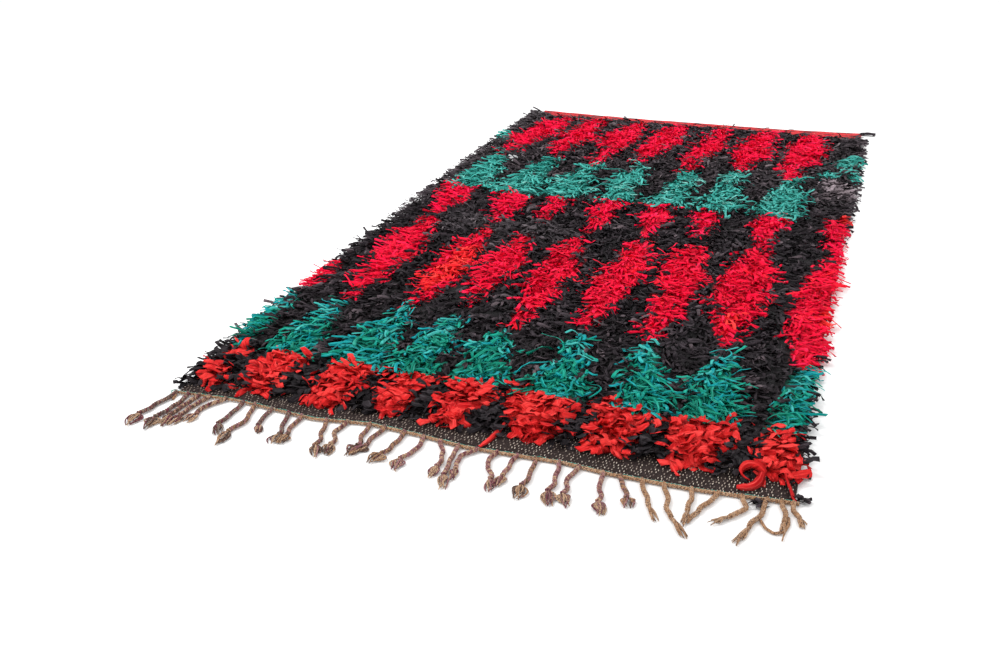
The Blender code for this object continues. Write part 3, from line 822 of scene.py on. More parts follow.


# Painted light: a lighter copy of the charcoal for the far rows, lighter for the brighter light at the far
# end.
def far_lit_charcoal_rag():
    tints = [(0.0, (0.011, 0.0086, 0.0104)), (0.5, (0.027, 0.0212, 0.0254)), (0.85, (0.064, 0.050, 0.058)),
             (1.0, (0.145, 0.114, 0.125))]
    return rag_cloth("dusty charcoal jersey", tints, (0.135, 0.110, 0.123), 0.38, 1.50,
                     specular=0.12, patches=0.35)


def worn_charcoal_rag():
    tints = [(0.0, (0.018, 0.0145, 0.017)), (0.5, (0.044, 0.036, 0.041)), (0.85, (0.084, 0.070, 0.078)),
             (1.0, (0.15, 0.125, 0.135))]
    return rag_cloth("worn charcoal jersey", tints, (0.120, 0.100, 0.110), 0.36, 1.50,
                     specular=0.12, patches=0.35)


def scarlet_rag():
    tints = [(0.0, (0.68, 0.005, 0.018)), (0.5, (0.92, 0.018, 0.026)), (1.0, (1.00, 0.060, 0.055))]
    return rag_cloth("scarlet jersey", tints, (1.00, 0.110, 0.080), 0.88, 1.12)


def mauve_rag():
    tints = [(0.0, (0.115, 0.092, 0.102)), (1.0, (0.38, 0.31, 0.34))]
    return rag_cloth("grey mauve jersey", tints, (0.42, 0.35, 0.38), 0.6, 1.1)


def white_rag():
    tints = [(0.0, (0.55, 0.55, 0.56)), (1.0, (0.75, 0.75, 0.76))]
    return rag_cloth("white cotton", tints, (0.80, 0.80, 0.80), 0.6, 1.0)


# Pieces of the pile: name, dye, where it begins and ends along the rug, and cloth.
PILE_PIECES = [
    ("black_rags", BLACK, -2.0, 2.0, black_rag),
    ("charcoal_rags_near", CHARCOAL, -2.0, -0.62, charcoal_rag),
    ("charcoal_rags_middle", CHARCOAL, -0.62, 0.42, charcoal_rag),
    # The far charcoal is the copy painted lighter.
    ("charcoal_rags_far", CHARCOAL, 0.42, 2.0, far_lit_charcoal_rag),
    ("worn_charcoal_rags", WORN, -2.0, 2.0, worn_charcoal_rag),
    ("crimson_rags_near", CRIMSON, -2.0, -0.10, crimson_rag),
    ("scarlet_rags", SCARLET, -2.0, 2.0, scarlet_rag),
    # The far crimson is the copy painted lighter.
    ("crimson_rags_far", CRIMSON, -0.10, 2.0, far_lit_crimson_rag),
    ("orange_rags", ORANGE, -2.0, 2.0, orange_rag),
    ("green_rags_near", GREEN, -2.0, -0.4, green_rag),
    ("green_rags_far", GREEN, -0.4, 2.0, pale_green_rag),
    ("mauve_rags", MAUVE, -2.0, 2.0, mauve_rag),
    ("white_rags", WHITE, -2.0, 2.0, white_rag),
]

BASE_COLOURS = {
    BLACK: (0.006, 0.005, 0.006), WORN: (0.012, 0.010, 0.011), SCARLET: (0.90, 0.010, 0.024),
    CHARCOAL: (0.008, 0.007, 0.008), CRIMSON: (0.90, 0.001, 0.034), ORANGE: (0.62, 0.016, 0.014),
    GREEN: (0.003, 0.220, 0.150), MAUVE: (0.03, 0.024, 0.026), WHITE: (0.2, 0.2, 0.2),
}
# The knots: how far they lie under the pile's surface, their cells, and where they begin and end.
BASE_DROP = 0.0125
BASE_CELLS = (62, 116)
BASE_START = PILE_START + 0.010
BASE_END = PILE_END + 0.020


def base_plan(across, along):
    y = blend(BASE_START, BASE_END, 0.5 + 0.5 * along)
    return blend(value_at(LEFT_EDGE, y) - 0.010, value_at(RIGHT_EDGE, y) - 0.004, 0.5 + 0.5 * across), y


def base_top(x, y):
    return max(GROUND_THICKNESS + 0.0020, pile_height(x, y) - BASE_DROP)


def make_base():
    """The knots under the rags: a dark lumpy layer in the motifs' colours that closes the pile."""
    shader = Shader("rag knots", roughness=0.95)
    shader.colour(shader.shade(shader.attribute("dyed", "Color"), shader.grain(220.0, detail=3.0), 0.4, 1.5))
    shader.bump(shader.grain(240.0, detail=3.0), 0.006)
    made = slab("rag_knots", BASE_CELLS, base_plan, GROUND_THICKNESS + 0.0006, base_top, shader.material)
    points = np.array([vert.co for vert in made.data.vertices])
    dye = dye_at(points[:, 0], points[:, 1] - SEEN_AHEAD)
    dyed = made.data.color_attributes.new("dyed", "FLOAT_COLOR", "POINT")
    colours = np.array([(*BASE_COLOURS[kind], 1.0) for kind in dye], np.float32)
    dyed.data.foreach_set("color", colours.ravel())
    return made


# Cord, tassels and stray strips.
YARNS = {
    "cream": (0.500, 0.325, 0.205), "tan": (0.390, 0.212, 0.108), "rust": (0.360, 0.130, 0.050),
    "brown": (0.095, 0.055, 0.040), "maroon": (0.150, 0.030, 0.050), "mauve": (0.300, 0.130, 0.150),
    "grey": (0.190, 0.160, 0.140), "turquoise": (0.060, 0.400, 0.330), "olive": (0.130, 0.120, 0.060),
}
# Plies of the tassels and the cord, the spacing of a strand's stations, and how its dye wanders.
PLY_RADIUS = 0.0030
PLY_REACH = 0.0030
PLY_PITCH = 0.018
CORD_PITCH = 0.017
CORD_REACH = 0.0020
CORD_RADIUS = [(-0.60, 0.0018), (0.10, 0.0026)]
STRAND_STEP = 0.0030
DYE_WANDER = 240.0
DYE_CONTRAST = 2.6


def directions(line, even=True):
    """Ahead, aside and over at each station of a line, the last two of unit length where even."""
    ahead = np.gradient(line, axis=0)
    ahead /= np.linalg.norm(ahead, axis=1, keepdims=True)
    side = np.cross(ahead, (0.0, 0.0, 1.0))
    if even:
        side /= np.maximum(np.linalg.norm(side, axis=1, keepdims=True), 1e-6)
    return ahead, side, np.cross(side, ahead)


class Strands:
    """Round strands gathered into one mesh, each with its dye."""

    def __init__(self):
        self.points, self.faces, self.dyes, self.tints, self.lays = [], [], [], [], []
        self.count = 0

    def shades(self, dye, other, line, tint):
        """Colour at each station of a strand that wanders between two dyes."""
        first, second = np.array((*YARNS[dye], 1.0)), np.array((*YARNS[other], 1.0))
        wander = [noise.noise(Vector(point) * DYE_WANDER + Vector((0.0, 60.0 * tint, 0.0)))
                  for point in line]
        return blend(first, second, np.clip(0.45 + DYE_CONTRAST * np.array(wander), 0.0, 1.0)[:, None])

    def add(self, line, radius, dye, sides=5, tint=0.5, blended=None):
        """A round strand along a line, closed at both ends."""
        line = np.asarray(line, float)
        steps = len(line)
        _, side, over = directions(line)
        angle = FULL_TURN * np.arange(sides) / sides
        ring = (np.cos(angle)[None, :, None] * side[:, None] + np.sin(angle)[None, :, None] * over[:, None])
        first = len(self.points)
        radius = np.broadcast_to(radius, steps)
        points = (line[:, None] + ring * radius[:, None, None]).reshape(-1, 3)
        points[:, 2] = np.maximum(points[:, 2], FLOOR_GAP)
        self.points.extend(points.tolist())
        self.dyes.extend(np.repeat(self.shades(dye, blended or dye, line, tint), sides, axis=0).tolist())
        self.tints.extend([tint] * (steps * sides))
        for step in range(steps - 1):
            low, high = first + step * sides, first + (step + 1) * sides
            for place in range(sides):
                onward = (place + 1) % sides
                self.faces.append((low + place, low + onward, high + onward, high + place))
                self.lays.append([(self.count, (place + u) / sides, (step + v) / steps) for u, v in SQUARE])
        for start, order, v in ((first, range(sides - 1, -1, -1), 0.0),
                                (first + (steps - 1) * sides, range(sides), (steps - 1) / steps)):
            self.faces.append(tuple(start + place for place in order))
            self.lays.append([(self.count, 0.1 + 0.15 * place, v) for place in order])
        self.count += 1

    def twist(self, line, dyes, reach, radius, pitch, dice, start=0.0, sides=5):
        """Plies wound round one another along a line."""
        arc = np.concatenate([[0.0], np.cumsum(np.linalg.norm(np.diff(line, axis=0), axis=1))])
        _, side, over = directions(line, even=False)
        for number, dye in enumerate(dyes):
            turn = (start + FULL_TURN * (arc / pitch + number / len(dyes)))[:, None]
            self.add(line + reach * (np.cos(turn) * side + np.sin(turn) * over), radius, dye, sides,
                     dice.uniform(0.2, 0.8), dyes[(number + 1) % len(dyes)])

    def build(self, name, material):
        mesh = bpy.data.meshes.new(name)
        mesh.from_pydata(self.points, [], self.faces)
        dyed = mesh.color_attributes.new("dyed", "FLOAT_COLOR", "POINT")
        dyed.data.foreach_set("color", np.array(self.dyes, np.float32).ravel())
        tint = mesh.attributes.new("tint", "FLOAT", "POINT")
        tint.data.foreach_set("value", np.array(self.tints, np.float32))
        lay = np.array([corner for face in self.lays for corner in face], np.float32)
        lay[:, 0] = (lay[:, 0] + 0.05 + 0.9 * lay[:, 1]) / self.count
        mesh.uv_layers.new(name=BAKED).data.foreach_set("uv", lay[:, [0, 2]].ravel())
        mesh.update()
        mesh.polygons.foreach_set("use_smooth", [True] * len(mesh.polygons))
        return add_object(mesh, material)


def spun_yarn():
    """Hand-spun yarn in the dye of each strand, flecked and hairy."""
    shader = Shader("hand spun yarn", roughness=0.92, sheen=0.1, specular=0.15)
    colour = shader.shade(shader.attribute("dyed", "Color"), shader.attribute("tint"), 0.8, 1.2)
    pale = shader.math("GREATER_THAN", shader.grain(300.0, roughness=0.6), 0.57)
    dark = shader.math("GREATER_THAN", shader.grain(360.0, detail=1.0), 0.55)
    colour = shader.mix(shader.math("MULTIPLY", pale, 0.60), colour, (0.56, 0.345, 0.220))
    colour = shader.mix(shader.math("MULTIPLY", dark, 0.74), colour, (0.050, 0.019, 0.021))
    shader.colour(shader.shade(colour, shader.grain(700.0), 0.5, 1.5))
    shader.bump(shader.grain(900.0), 0.0010, 0.9)
    return shader.material


# Where each tassel leaves the cord, its sideways shift a third and two thirds of the way out and
# at its tip, how far it reaches, how wide its frayed end spreads, and the yarns twisted in it.
Tassel = namedtuple("Tassel", "root third two_thirds tip reach bundle yarns")
DARK_TWIST = ("brown", "grey", "maroon")
PALE_TWIST = ("brown", "cream", "maroon")
MAUVE_TWIST = ("mauve", "cream", "maroon")
RUST_TWIST = ("mauve", "tan", "brown")
TAN_TWIST = ("tan", "tan", "cream")
TASSELS = [Tassel(*row) for row in (
    (-0.738, -0.009, -0.020, -0.018, 0.172, 0.012, DARK_TWIST),
    (-0.706, 0.003, -0.005, -0.003, 0.175, 0.011, DARK_TWIST),
    (-0.676, -0.008, -0.012, -0.004, 0.155, 0.007, PALE_TWIST),
    (-0.648, -0.012, -0.018, -0.016, 0.145, 0.007, PALE_TWIST),
    (-0.604, -0.024, -0.030, -0.036, 0.125, 0.008, PALE_TWIST),
    (-0.556, 0.004, -0.002, 0.020, 0.155, 0.006, DARK_TWIST),
    (-0.522, 0.014, 0.010, 0.010, 0.185, 0.008, RUST_TWIST),
    (-0.474, 0.002, 0.004, 0.030, 0.112, 0.005, DARK_TWIST),
    (-0.426, 0.012, 0.028, 0.030, 0.135, 0.010, DARK_TWIST),
    (-0.390, 0.004, 0.010, 0.004, 0.125, 0.008, RUST_TWIST),
    (-0.325, 0.016, 0.028, 0.056, 0.160, 0.008, RUST_TWIST),
    (-0.275, -0.006, 0.010, 0.014, 0.145, 0.010, PALE_TWIST),
    (-0.221, 0.006, 0.012, 0.008, 0.140, 0.012, RUST_TWIST),
    (-0.181, -0.008, -0.012, -0.022, 0.125, 0.009, RUST_TWIST),
    (-0.131, 0.003, -0.008, -0.022, 0.145, 0.012, RUST_TWIST),
    (-0.080, 0.006, -0.014, -0.011, 0.150, 0.009, MAUVE_TWIST),
    (-0.038, 0.022, 0.033, 0.034, 0.145, 0.006, MAUVE_TWIST),
    (0.008, 0.005, 0.012, 0.028, 0.175, 0.007, MAUVE_TWIST),
    (0.054, -0.026, -0.020, -0.014, 0.132, 0.006, MAUVE_TWIST),
    (0.100, -0.010, 0.020, 0.032, 0.148, 0.006, MAUVE_TWIST),
    (0.147, -0.004, -0.005, -0.006, 0.125, 0.008, MAUVE_TWIST),
    (0.190, 0.006, 0.004, 0.006, 0.160, 0.010, RUST_TWIST),
    (0.240, 0.013, 0.012, 0.026, 0.165, 0.009, MAUVE_TWIST),
    (0.287, -0.006, -0.002, 0.014, 0.160, 0.009, MAUVE_TWIST),
    (0.343, 0.003, 0.016, 0.034, 0.155, 0.008, MAUVE_TWIST),
    (0.379, 0.014, 0.028, 0.044, 0.110, 0.009, RUST_TWIST),
    (0.428, 0.013, 0.036, 0.060, 0.140, 0.005, TAN_TWIST),
    (0.475, 0.018, 0.040, 0.088, 0.185, 0.007, TAN_TWIST),
    (0.533, 0.008, 0.002, 0.006, 0.130, 0.007, TAN_TWIST),
    (0.588, -0.016, -0.034, -0.046, 0.125, 0.005, TAN_TWIST),
    (0.636, 0.010, -0.018, -0.066, 0.132, 0.007, TAN_TWIST),
    (0.685, -0.001, -0.024, -0.040, 0.175, 0.008, TAN_TWIST),
    (0.714, 0.016, 0.018, 0.014, 0.115, 0.006, TAN_TWIST),
    (0.738, 0.008, 0.018, 0.030, 0.085, 0.006, TAN_TWIST),
)]
# Tufts: the share of a tassel they take up, also of an open-ended one, and their strands.
TUFT_SHARE = 0.70
OPEN_TUFT_SHARE = 0.62
TUFT_STRANDS = 12
TUFT_RADIUS = 0.0021
TUFT_TAPER = np.array([0.9, 1.0, 1.0, 1.0, 1.0, 0.9, 0.75, 0.45])
TUFT_SPREAD = 1.35
TUFT_REACH = (0.62, 1.20)
TUFT_SWAY = 0.0034
TUFT_WAVE = 0.0012
TUFT_LIFT = 0.0042
TUFT_UNDERSIDE = 0.0024
TUFT_CROWN = 0.0046
TASSEL_SWAY = 0.0105
SWAY_LENGTH = 0.035
TASSEL_HEIGHT = 0.0062
TASSEL_WAVE = 0.0008
OVER_CORD = 0.012
CORD_HUMP = 0.0020
KNOT_STEPS = 11
KNOT_SIZE = (0.0052, 0.0036, 0.0030)
KNOT_HEIGHT = 0.0064
KNOT_RADIUS = 0.0021


def cord_line(ends, shift, height):
    """Stations beside the edge that carries the cord."""
    x = np.arange(*ends, STRAND_STEP)
    return np.stack([x, value_at(CORD_LINE, x) + shift, np.full(len(x), height)], axis=1)


def tassel_line(tassel):
    """Centreline of a tassel as it lies on the floor, smooth through its tabled shifts."""
    along = np.linspace(0.0, 1.0, int(tassel.reach / STRAND_STEP) + 1)
    shifts = np.array([0.0, tassel.third, tassel.two_thirds, tassel.tip])
    place = np.minimum(along, 0.9999) * 3.0
    index = place.astype(int)
    share = place - index
    share = 0.5 * share + 0.5 * share * share * (3.0 - 2.0 * share)
    shift = blend(shifts[index], shifts[index + 1], share)
    sway = np.array([noise.noise(Vector((tassel.root * 9.0, 0.0, s * tassel.reach / SWAY_LENGTH)))
                     for s in along])
    x = tassel.root + shift + TASSEL_SWAY * sway * np.sin(np.pi * along)
    y = value_at(CORD_LINE, tassel.root) - tassel.reach * along
    over_cord = np.clip(1.0 - along * tassel.reach / OVER_CORD, 0.0, 1.0)
    z = TASSEL_HEIGHT + CORD_HUMP * over_cord + TASSEL_WAVE * sway
    return np.stack([x, y, z], axis=1)


def tie_knot(strands, centre, ahead, side, dye, tint):
    """One turn of yarn round a tassel where its tuft begins."""
    turn = np.linspace(0.0, FULL_TURN, KNOT_STEPS)[:, None]
    wide, high, slant = KNOT_SIZE
    knot = centre - ahead * 0.002 + wide * np.cos(turn) * side
    knot[:, 2] = KNOT_HEIGHT + high * np.sin(turn[:, 0])
    knot += ahead * slant * np.sin(turn / 2.0)
    strands.add(knot, KNOT_RADIUS, dye, 5, tint)


def grow_tassel(strands, tassel, dice):
    """Twisted plies drawn into a knot, and beyond it a bulky tuft of yarn ends that folds in at its tips."""
    line = tassel_line(tassel)
    open_end = tassel.yarns is TAN_TWIST
    share_cut = OPEN_TUFT_SHARE if open_end else TUFT_SHARE
    cut = max(6, int(len(line) * share_cut))
    pitch = PLY_PITCH * dice.uniform(0.8, 1.3)
    strands.twist(line[:cut + 2], tassel.yarns, PLY_REACH, PLY_RADIUS, pitch, dice, dice.uniform(0.0, 6.28))
    ahead = line[-1] - line[cut]
    ahead /= np.linalg.norm(ahead)
    side = np.cross(ahead, (0.0, 0.0, 1.0))
    if not open_end:
        tie_knot(strands, line[cut], ahead, side, dice.choice(tassel.yarns), dice.uniform(0.1, 0.9))
    length = tassel.reach * (1.0 - share_cut)
    spread = tassel.bundle * (1.0 if open_end else TUFT_SPREAD)
    along = np.linspace(0.0, 1.0, len(TUFT_TAPER))
    bulge = 0.8 * along if open_end else 1.05 * np.sin(np.pi * along ** 0.80) + 0.30 * along
    for number in range(TUFT_STRANDS):
        share = 2.0 * (number + 0.5) / TUFT_STRANDS - 1.0 + dice.uniform(-0.12, 0.12)
        reach = length * dice.uniform(*TUFT_REACH) * (1.0 - 0.15 * abs(share))
        sway = TUFT_SWAY * dice.normal() * along ** 2
        sway = sway + TUFT_WAVE * np.sin(6.0 * along + dice.uniform(0.0, 6.28))
        path = line[cut] + ahead * reach * along[:, None]
        path = path + side * (0.002 * share + spread * share * bulge + sway)[:, None]
        lift = dice.uniform(0.0, TUFT_LIFT) * np.sin(np.pi * along)
        path[:, 2] = TUFT_UNDERSIDE + lift + TUFT_CROWN * (1.0 - abs(share)) * (1.0 - 0.6 * along)
        radius = TUFT_RADIUS * dice.uniform(0.85, 1.15) * TUFT_TAPER
        strands.add(path, radius, dice.choice((*tassel.yarns, "cream")), 4, dice.uniform(0.1, 0.9))


# Loose yarns among the tassels: dye, radius, and points on the floor.
LooseYarn = namedtuple("LooseYarn", "dye radius points")
LOOSE_YARNS = [
    LooseYarn("tan", 0.0030, [(-0.735, -1.565), (-0.733, -1.575), (-0.731, -1.586)]),
    LooseYarn("tan", 0.0034, [(0.682, -1.652), (0.694, -1.676), (0.712, -1.689), (0.730, -1.678),
                              (0.737, -1.650), (0.734, -1.625)]),
    LooseYarn("tan", 0.0016, [(0.733, -1.672), (0.731, -1.690), (0.730, -1.708)]),
    LooseYarn("turquoise", 0.0014, [(-0.744, -1.560), (-0.756, -1.556), (-0.760, -1.547),
                                    (-0.752, -1.541)]),
]
LOOSE_YARN_HEIGHT = 0.0032


def smooth_line(points, spacing=0.003):
    """Evenly spaced stations along a smooth curve through a few points."""
    points = np.array(points, float)
    knots = np.arange(len(points))
    length = np.linalg.norm(np.diff(points, axis=0), axis=1).sum()
    fine = np.linspace(0.0, len(points) - 1.0, max(4, int(length / spacing)))
    line = np.stack([np.interp(fine, knots, column) for column in points.T], axis=1)
    for _ in range(3):
        line[1:-1] = np.stack([np.convolve(column, (0.25, 0.5, 0.25), "valid") for column in line.T], axis=1)
    return line


# The cord's ends and height.
CORD_ENDS = (-0.748, 0.750)
CORD_HEIGHT = 0.0048
# The turquoise thread beside the cord: its ends, shift, height, radius, and how it waves and rises.
THREAD_ENDS = (-0.748, 0.748)
THREAD_SHIFT = 0.0056
THREAD_HEIGHT = 0.0060
THREAD_RADIUS = 0.0011
THREAD_WAVE = 0.0009
THREAD_WAVE_LENGTH = 0.006
THREAD_RISE = 0.0026
THREAD_RISE_LENGTH = 0.035


def make_fringe():
    """The cord with its thread, the tassels and the loose yarns, as one mesh."""
    dice = np.random.default_rng(41)
    strands = Strands()
    cord = cord_line(CORD_ENDS, 0.0, CORD_HEIGHT)
    strands.twist(cord, ("tan", "cream"), CORD_REACH, value_at(CORD_RADIUS, cord[:, 0]), CORD_PITCH, dice,
                  sides=6)
    thread = cord_line(THREAD_ENDS, THREAD_SHIFT, THREAD_HEIGHT)
    thread[:, 1] += THREAD_WAVE * np.sin(thread[:, 0] / THREAD_WAVE_LENGTH)
    thread[:, 2] += [THREAD_RISE * noise.noise(Vector((x / THREAD_RISE_LENGTH, 4.0, 0.0)))
                     for x in thread[:, 0]]
    strands.add(thread, THREAD_RADIUS, "turquoise", 4)
    for tassel in TASSELS:
        grow_tassel(strands, tassel, dice)
    for yarn in LOOSE_YARNS:
        line = smooth_line([(*point, LOOSE_YARN_HEIGHT) for point in yarn.points])
        strands.add(line, yarn.radius, yarn.dye)
    return strands.build("warp_fringe", spun_yarn())


# Long strips that lie out over the flat weave: width, points along each, and tilt of its section, radians.
Stray = namedtuple("Stray", "width points tilt", defaults=[0.0])
RED_STRAYS = [
    Stray(0.011, [(0.083, -1.470, 0.022), (0.076, -1.500, 0.013), (0.066, -1.540, 0.0085),
                  (0.057, -1.572, 0.011)]),
    Stray(0.013, [(0.468, -1.470, 0.022), (0.474, -1.505, 0.012), (0.486, -1.530, 0.008),
                  (0.497, -1.545, 0.007)]),
    Stray(0.020, [(0.672, -1.506, 0.024), (0.657, -1.488, 0.029), (0.636, -1.482, 0.028),
                  (0.620, -1.496, 0.020), (0.622, -1.512, 0.012), (0.642, -1.520, 0.010)], 0.7),
    Stray(0.019, [(0.668, -1.506, 0.026), (0.666, -1.526, 0.018), (0.657, -1.541, 0.011),
                  (0.640, -1.549, 0.009), (0.620, -1.550, 0.0075)]),
    Stray(0.010, [(0.714, -1.490, 0.024), (0.721, -1.517, 0.015), (0.731, -1.533, 0.010),
                  (0.735, -1.553, 0.008), (0.742, -1.568, 0.0075)]),
    Stray(0.010, [(-0.702, -1.470, 0.020), (-0.700, -1.495, 0.010), (-0.694, -1.512, 0.007)]),
    Stray(0.009, [(-0.405, -1.480, 0.020), (-0.410, -1.505, 0.010), (-0.420, -1.520, 0.007)]),
]
GREEN_STRAYS = [
    Stray(0.0055, [(0.030, -1.010, 0.038), (0.052, -1.026, 0.041), (0.080, -1.030, 0.042),
                   (0.103, -1.052, 0.041), (0.110, -1.082, 0.036)]),
    Stray(0.0050, [(-0.283, -1.105, 0.038), (-0.272, -1.142, 0.041), (-0.240, -1.162, 0.042),
                   (-0.205, -1.160, 0.042), (-0.184, -1.130, 0.041), (-0.188, -1.095, 0.036)]),
    Stray(0.0050, [(0.226, -1.250, 0.036), (0.246, -1.257, 0.041), (0.262, -1.272, 0.042),
                   (0.256, -1.298, 0.041), (0.240, -1.318, 0.036)]),
    Stray(0.0060, [(0.470, -0.985, 0.037), (0.492, -0.968, 0.042), (0.520, -0.966, 0.043),
                   (0.531, -0.990, 0.042), (0.508, -1.016, 0.037)]),
]
DARK_STRAYS = [
    Stray(0.020, [(0.7380, 1.5430, 0.0062), (0.7580, 1.5520, 0.0066), (0.7750, 1.5560, 0.0066),
                  (0.7900, 1.5530, 0.0060), (0.8040, 1.5480, 0.0052)], 0.3),
    Stray(0.019, [(0.7400, 1.5380, 0.0080), (0.7600, 1.5470, 0.0092), (0.7760, 1.5510, 0.0100),
                  (0.7900, 1.5490, 0.0098), (0.8030, 1.5440, 0.0080)], -0.8),
]
# A strip's section, its stations' spacing, its width at the ends, how much more it has in the middle and
# how much that varies, as shares of the width above, and how far it turns.
STRIP_SECTION = ((-1.0, 0.0), (0.0, -0.10), (1.0, 0.05), (0.2, 0.35))
STRIP_STEP = 0.007
STRIP_WIDTHS = (0.75, 0.35, 0.12)
STRIP_ROLL = 0.5


def lay_strip(bm, along_layer, across_layer, stray, dice):
    """A folded ribbon along its points, turned a little on its way."""
    line = smooth_line(stray.points, STRIP_STEP)
    _, side, over = directions(line)
    rings = []
    for step, centre in enumerate(line):
        share = step / (len(line) - 1)
        ends, swell, ragged = STRIP_WIDTHS
        half = 0.5 * stray.width * (ends + swell * math.sin(math.pi * share) + dice.uniform(-ragged, ragged))
        roll = stray.tilt + STRIP_ROLL * math.sin(3.0 * share + dice.uniform(-0.4, 0.4))
        ring = []
        for a, b in STRIP_SECTION:
            u = a * math.cos(roll) - b * math.sin(roll)
            v = a * math.sin(roll) + b * math.cos(roll)
            vert = bm.verts.new(centre + half * (side[step] * u + over[step] * v))
            vert.co.z = max(vert.co.z, FLOOR_GAP)
            vert[along_layer], vert[across_layer] = 0.4 + 0.6 * share, 0.5 + 0.5 * a
            ring.append(vert)
        rings.append(ring)
    for ring, onward in zip(rings, rings[1:]):
        for first, second in ((0, 1), (1, 2), (2, 3), (3, 0)):
            bm.faces.new((ring[first], ring[second], onward[second], onward[first]))
    bm.faces.new(rings[0][::-1])
    bm.faces.new(rings[-1])


def make_strays(name, strays, material, seed):
    """All the stray strips of one cloth, each in its own tint."""
    bm = bmesh.new()
    along, tint, across = (bm.verts.layers.float.new(title) for title in ("along", "tint", "across"))
    dice = np.random.default_rng(seed)
    for stray in strays:
        before = len(bm.verts)
        lay_strip(bm, along, across, stray, dice)
        bm.verts.ensure_lookup_table()
        shade = dice.random()
        for vert in bm.verts[before:]:
            vert[tint] = shade
    bmesh.ops.recalc_face_normals(bm, faces=bm.faces)
    return add_object(mesh_of(bm, name), material)


# Soft dark rag ends that stick out beside the ground: middle and half sizes.
RagEnd = namedtuple("RagEnd", "x y half_x half_y")
RAG_ENDS = {
    "rag_end_edge": RagEnd(0.668, -1.5945, 0.013, 0.0085),
    "rag_end_corner": RagEnd(0.7538, -1.5520, 0.015, 0.0090),
}
# How many folds each has, how near its middle they are rooted, and how high, long, wide and tilted they are.
RAG_END_FOLDS = 16
ROOTED_WITHIN = 0.55
RAG_END_HEIGHT = (0.002, 0.008)
RAG_END_LENGTH = (0.011, 0.015)
RAG_END_WIDTH = (0.010, 0.013)
RAG_END_TILT = 0.2


def rag_end_roots(end, dice):
    """Roots of a rag end's folds, which point outwards from its middle."""
    count = RAG_END_FOLDS
    angle = dice.uniform(0.0, FULL_TURN, count)
    reach = np.sqrt(dice.random(count)) * ROOTED_WITHIN
    place = [end.x + end.half_x * reach * np.cos(angle), end.y + end.half_y * reach * np.sin(angle),
             dice.uniform(*RAG_END_HEIGHT, count)]
    turn = [dice.normal(0.0, RAG_END_TILT, count), dice.normal(0.0, RAG_END_TILT, count), angle]
    length = dice.uniform(*RAG_END_LENGTH, count)
    size = [length, dice.uniform(*RAG_END_WIDTH, count) / SOFT.width, length]
    return Roots(*(np.stack(columns, axis=1) for columns in (place, turn, size)),
                 dice.integers(0, SOFT.cuts, count), dice.random(count))


# Pale warp floats that show between the dark wefts of the flat weave, in rows that start beside the cord.
# They stray across and along, and turn a little.
FLECK = RagCut("warp fleck", 3, 0, 0, (0, 0), (0, 0), 0, 0, 1.0, 0.0)
FLECK_PITCH = 0.0085
FLECK_ROWS = (0.0085, 0.110, 0.0100)
FLECK_RANGE = (-0.736, 0.738)
LAST_FLECK = 0.736
FLECK_SHARE = 0.82
FLECK_LENGTH = (0.0070, 0.0105)
FLECK_WIDTH = (0.0024, 0.0034)
FLECK_HEIGHT = 0.0018
FLECK_STRAY = (0.0013, 0.0012)
FLECK_TURN = 0.12
# The floats are duller to the left of the middle, where the wefts were beaten closer.
FLECK_BRIGHTNESS = [(-0.40, 0.55), (0.20, 1.0)]


def fleck_variant(cut, dice, index):
    """A short raised float of warp, low and rounded."""
    bm = bmesh.new()
    bmesh.ops.create_uvsphere(bm, u_segments=5, v_segments=3, radius=0.5)
    lay = bm.loops.layers.uv.new("lay")
    along = bm.verts.layers.float.new("along")
    for vert in bm.verts:
        vert[along] = 0.5
        swell = 1.0 + 0.15 * dice.uniform(-1.0, 1.0)
        vert.co = (vert.co.x * swell, vert.co.y * swell, vert.co.z)
    for face in bm.faces:
        for loop in face.loops:
            loop[lay].uv = (loop.vert.co.x * 0.8 + 0.5, loop.vert.co.y * 0.8 + 0.5)
    return modelled(bm, f"{cut.name}_{index:02d}")


def fleck_roots():
    """Roots of the warp floats, in staggered rows across the flat weave."""
    dice = np.random.default_rng(17)
    x, away = (grid.ravel() for grid in np.meshgrid(np.arange(*FLECK_RANGE, FLECK_PITCH),
                                                    np.arange(*FLECK_ROWS)))
    row = np.rint((away - FLECK_ROWS[0]) / FLECK_ROWS[2]).astype(int)
    x = x + (row % 2) * 0.5 * FLECK_PITCH + dice.normal(0.0, FLECK_STRAY[0], len(x))
    keep = (dice.random(len(x)) < FLECK_SHARE) & (x < LAST_FLECK)
    x, away = x[keep], away[keep]
    y = value_at(CORD_LINE, x) + away + dice.normal(0.0, FLECK_STRAY[1], len(x))
    count = len(x)
    place = [x, y, np.full(count, GROUND_THICKNESS - 0.0002)]
    turn = [np.zeros(count), np.zeros(count), np.pi / 2 + dice.normal(0.0, FLECK_TURN, count)]
    size = [dice.uniform(*FLECK_LENGTH, count), dice.uniform(*FLECK_WIDTH, count),
            np.full(count, FLECK_HEIGHT)]
    tint = dice.random(count) * value_at(FLECK_BRIGHTNESS, x)
    return Roots(*(np.stack(columns, axis=1) for columns in (place, turn, size)),
                 dice.integers(0, FLECK.cuts, count), tint)


def fleck_yarn():
    """Undyed warp, duller or brighter from float to float."""
    shader = Shader("pale warp float", roughness=0.9)
    colour = shader.ramp(shader.attribute("tint"), (0.0, (0.13, 0.095, 0.085)), (0.5, (0.36, 0.29, 0.24)),
                         (1.0, (0.62, 0.54, 0.46)))
    shader.colour(shader.shade(colour, shader.grain(700.0), 0.7, 1.3))
    return shader.material


# Camera, floor and light.
CAMERA_PLACE = Vector((0.7911, -3.5465, 1.2594))
CAMERA_AHEAD = Vector((-0.29737, 0.85787, -0.41908))
CAMERA_RIGHT = Vector((0.94550, 0.32559, -0.00440))
LENS = 39.45
FLOOR_LEVEL = -0.0008
FLOOR_COLOUR = (0.96, 0.96, 0.96, 1.0)
SKY_STRENGTH = 1.03
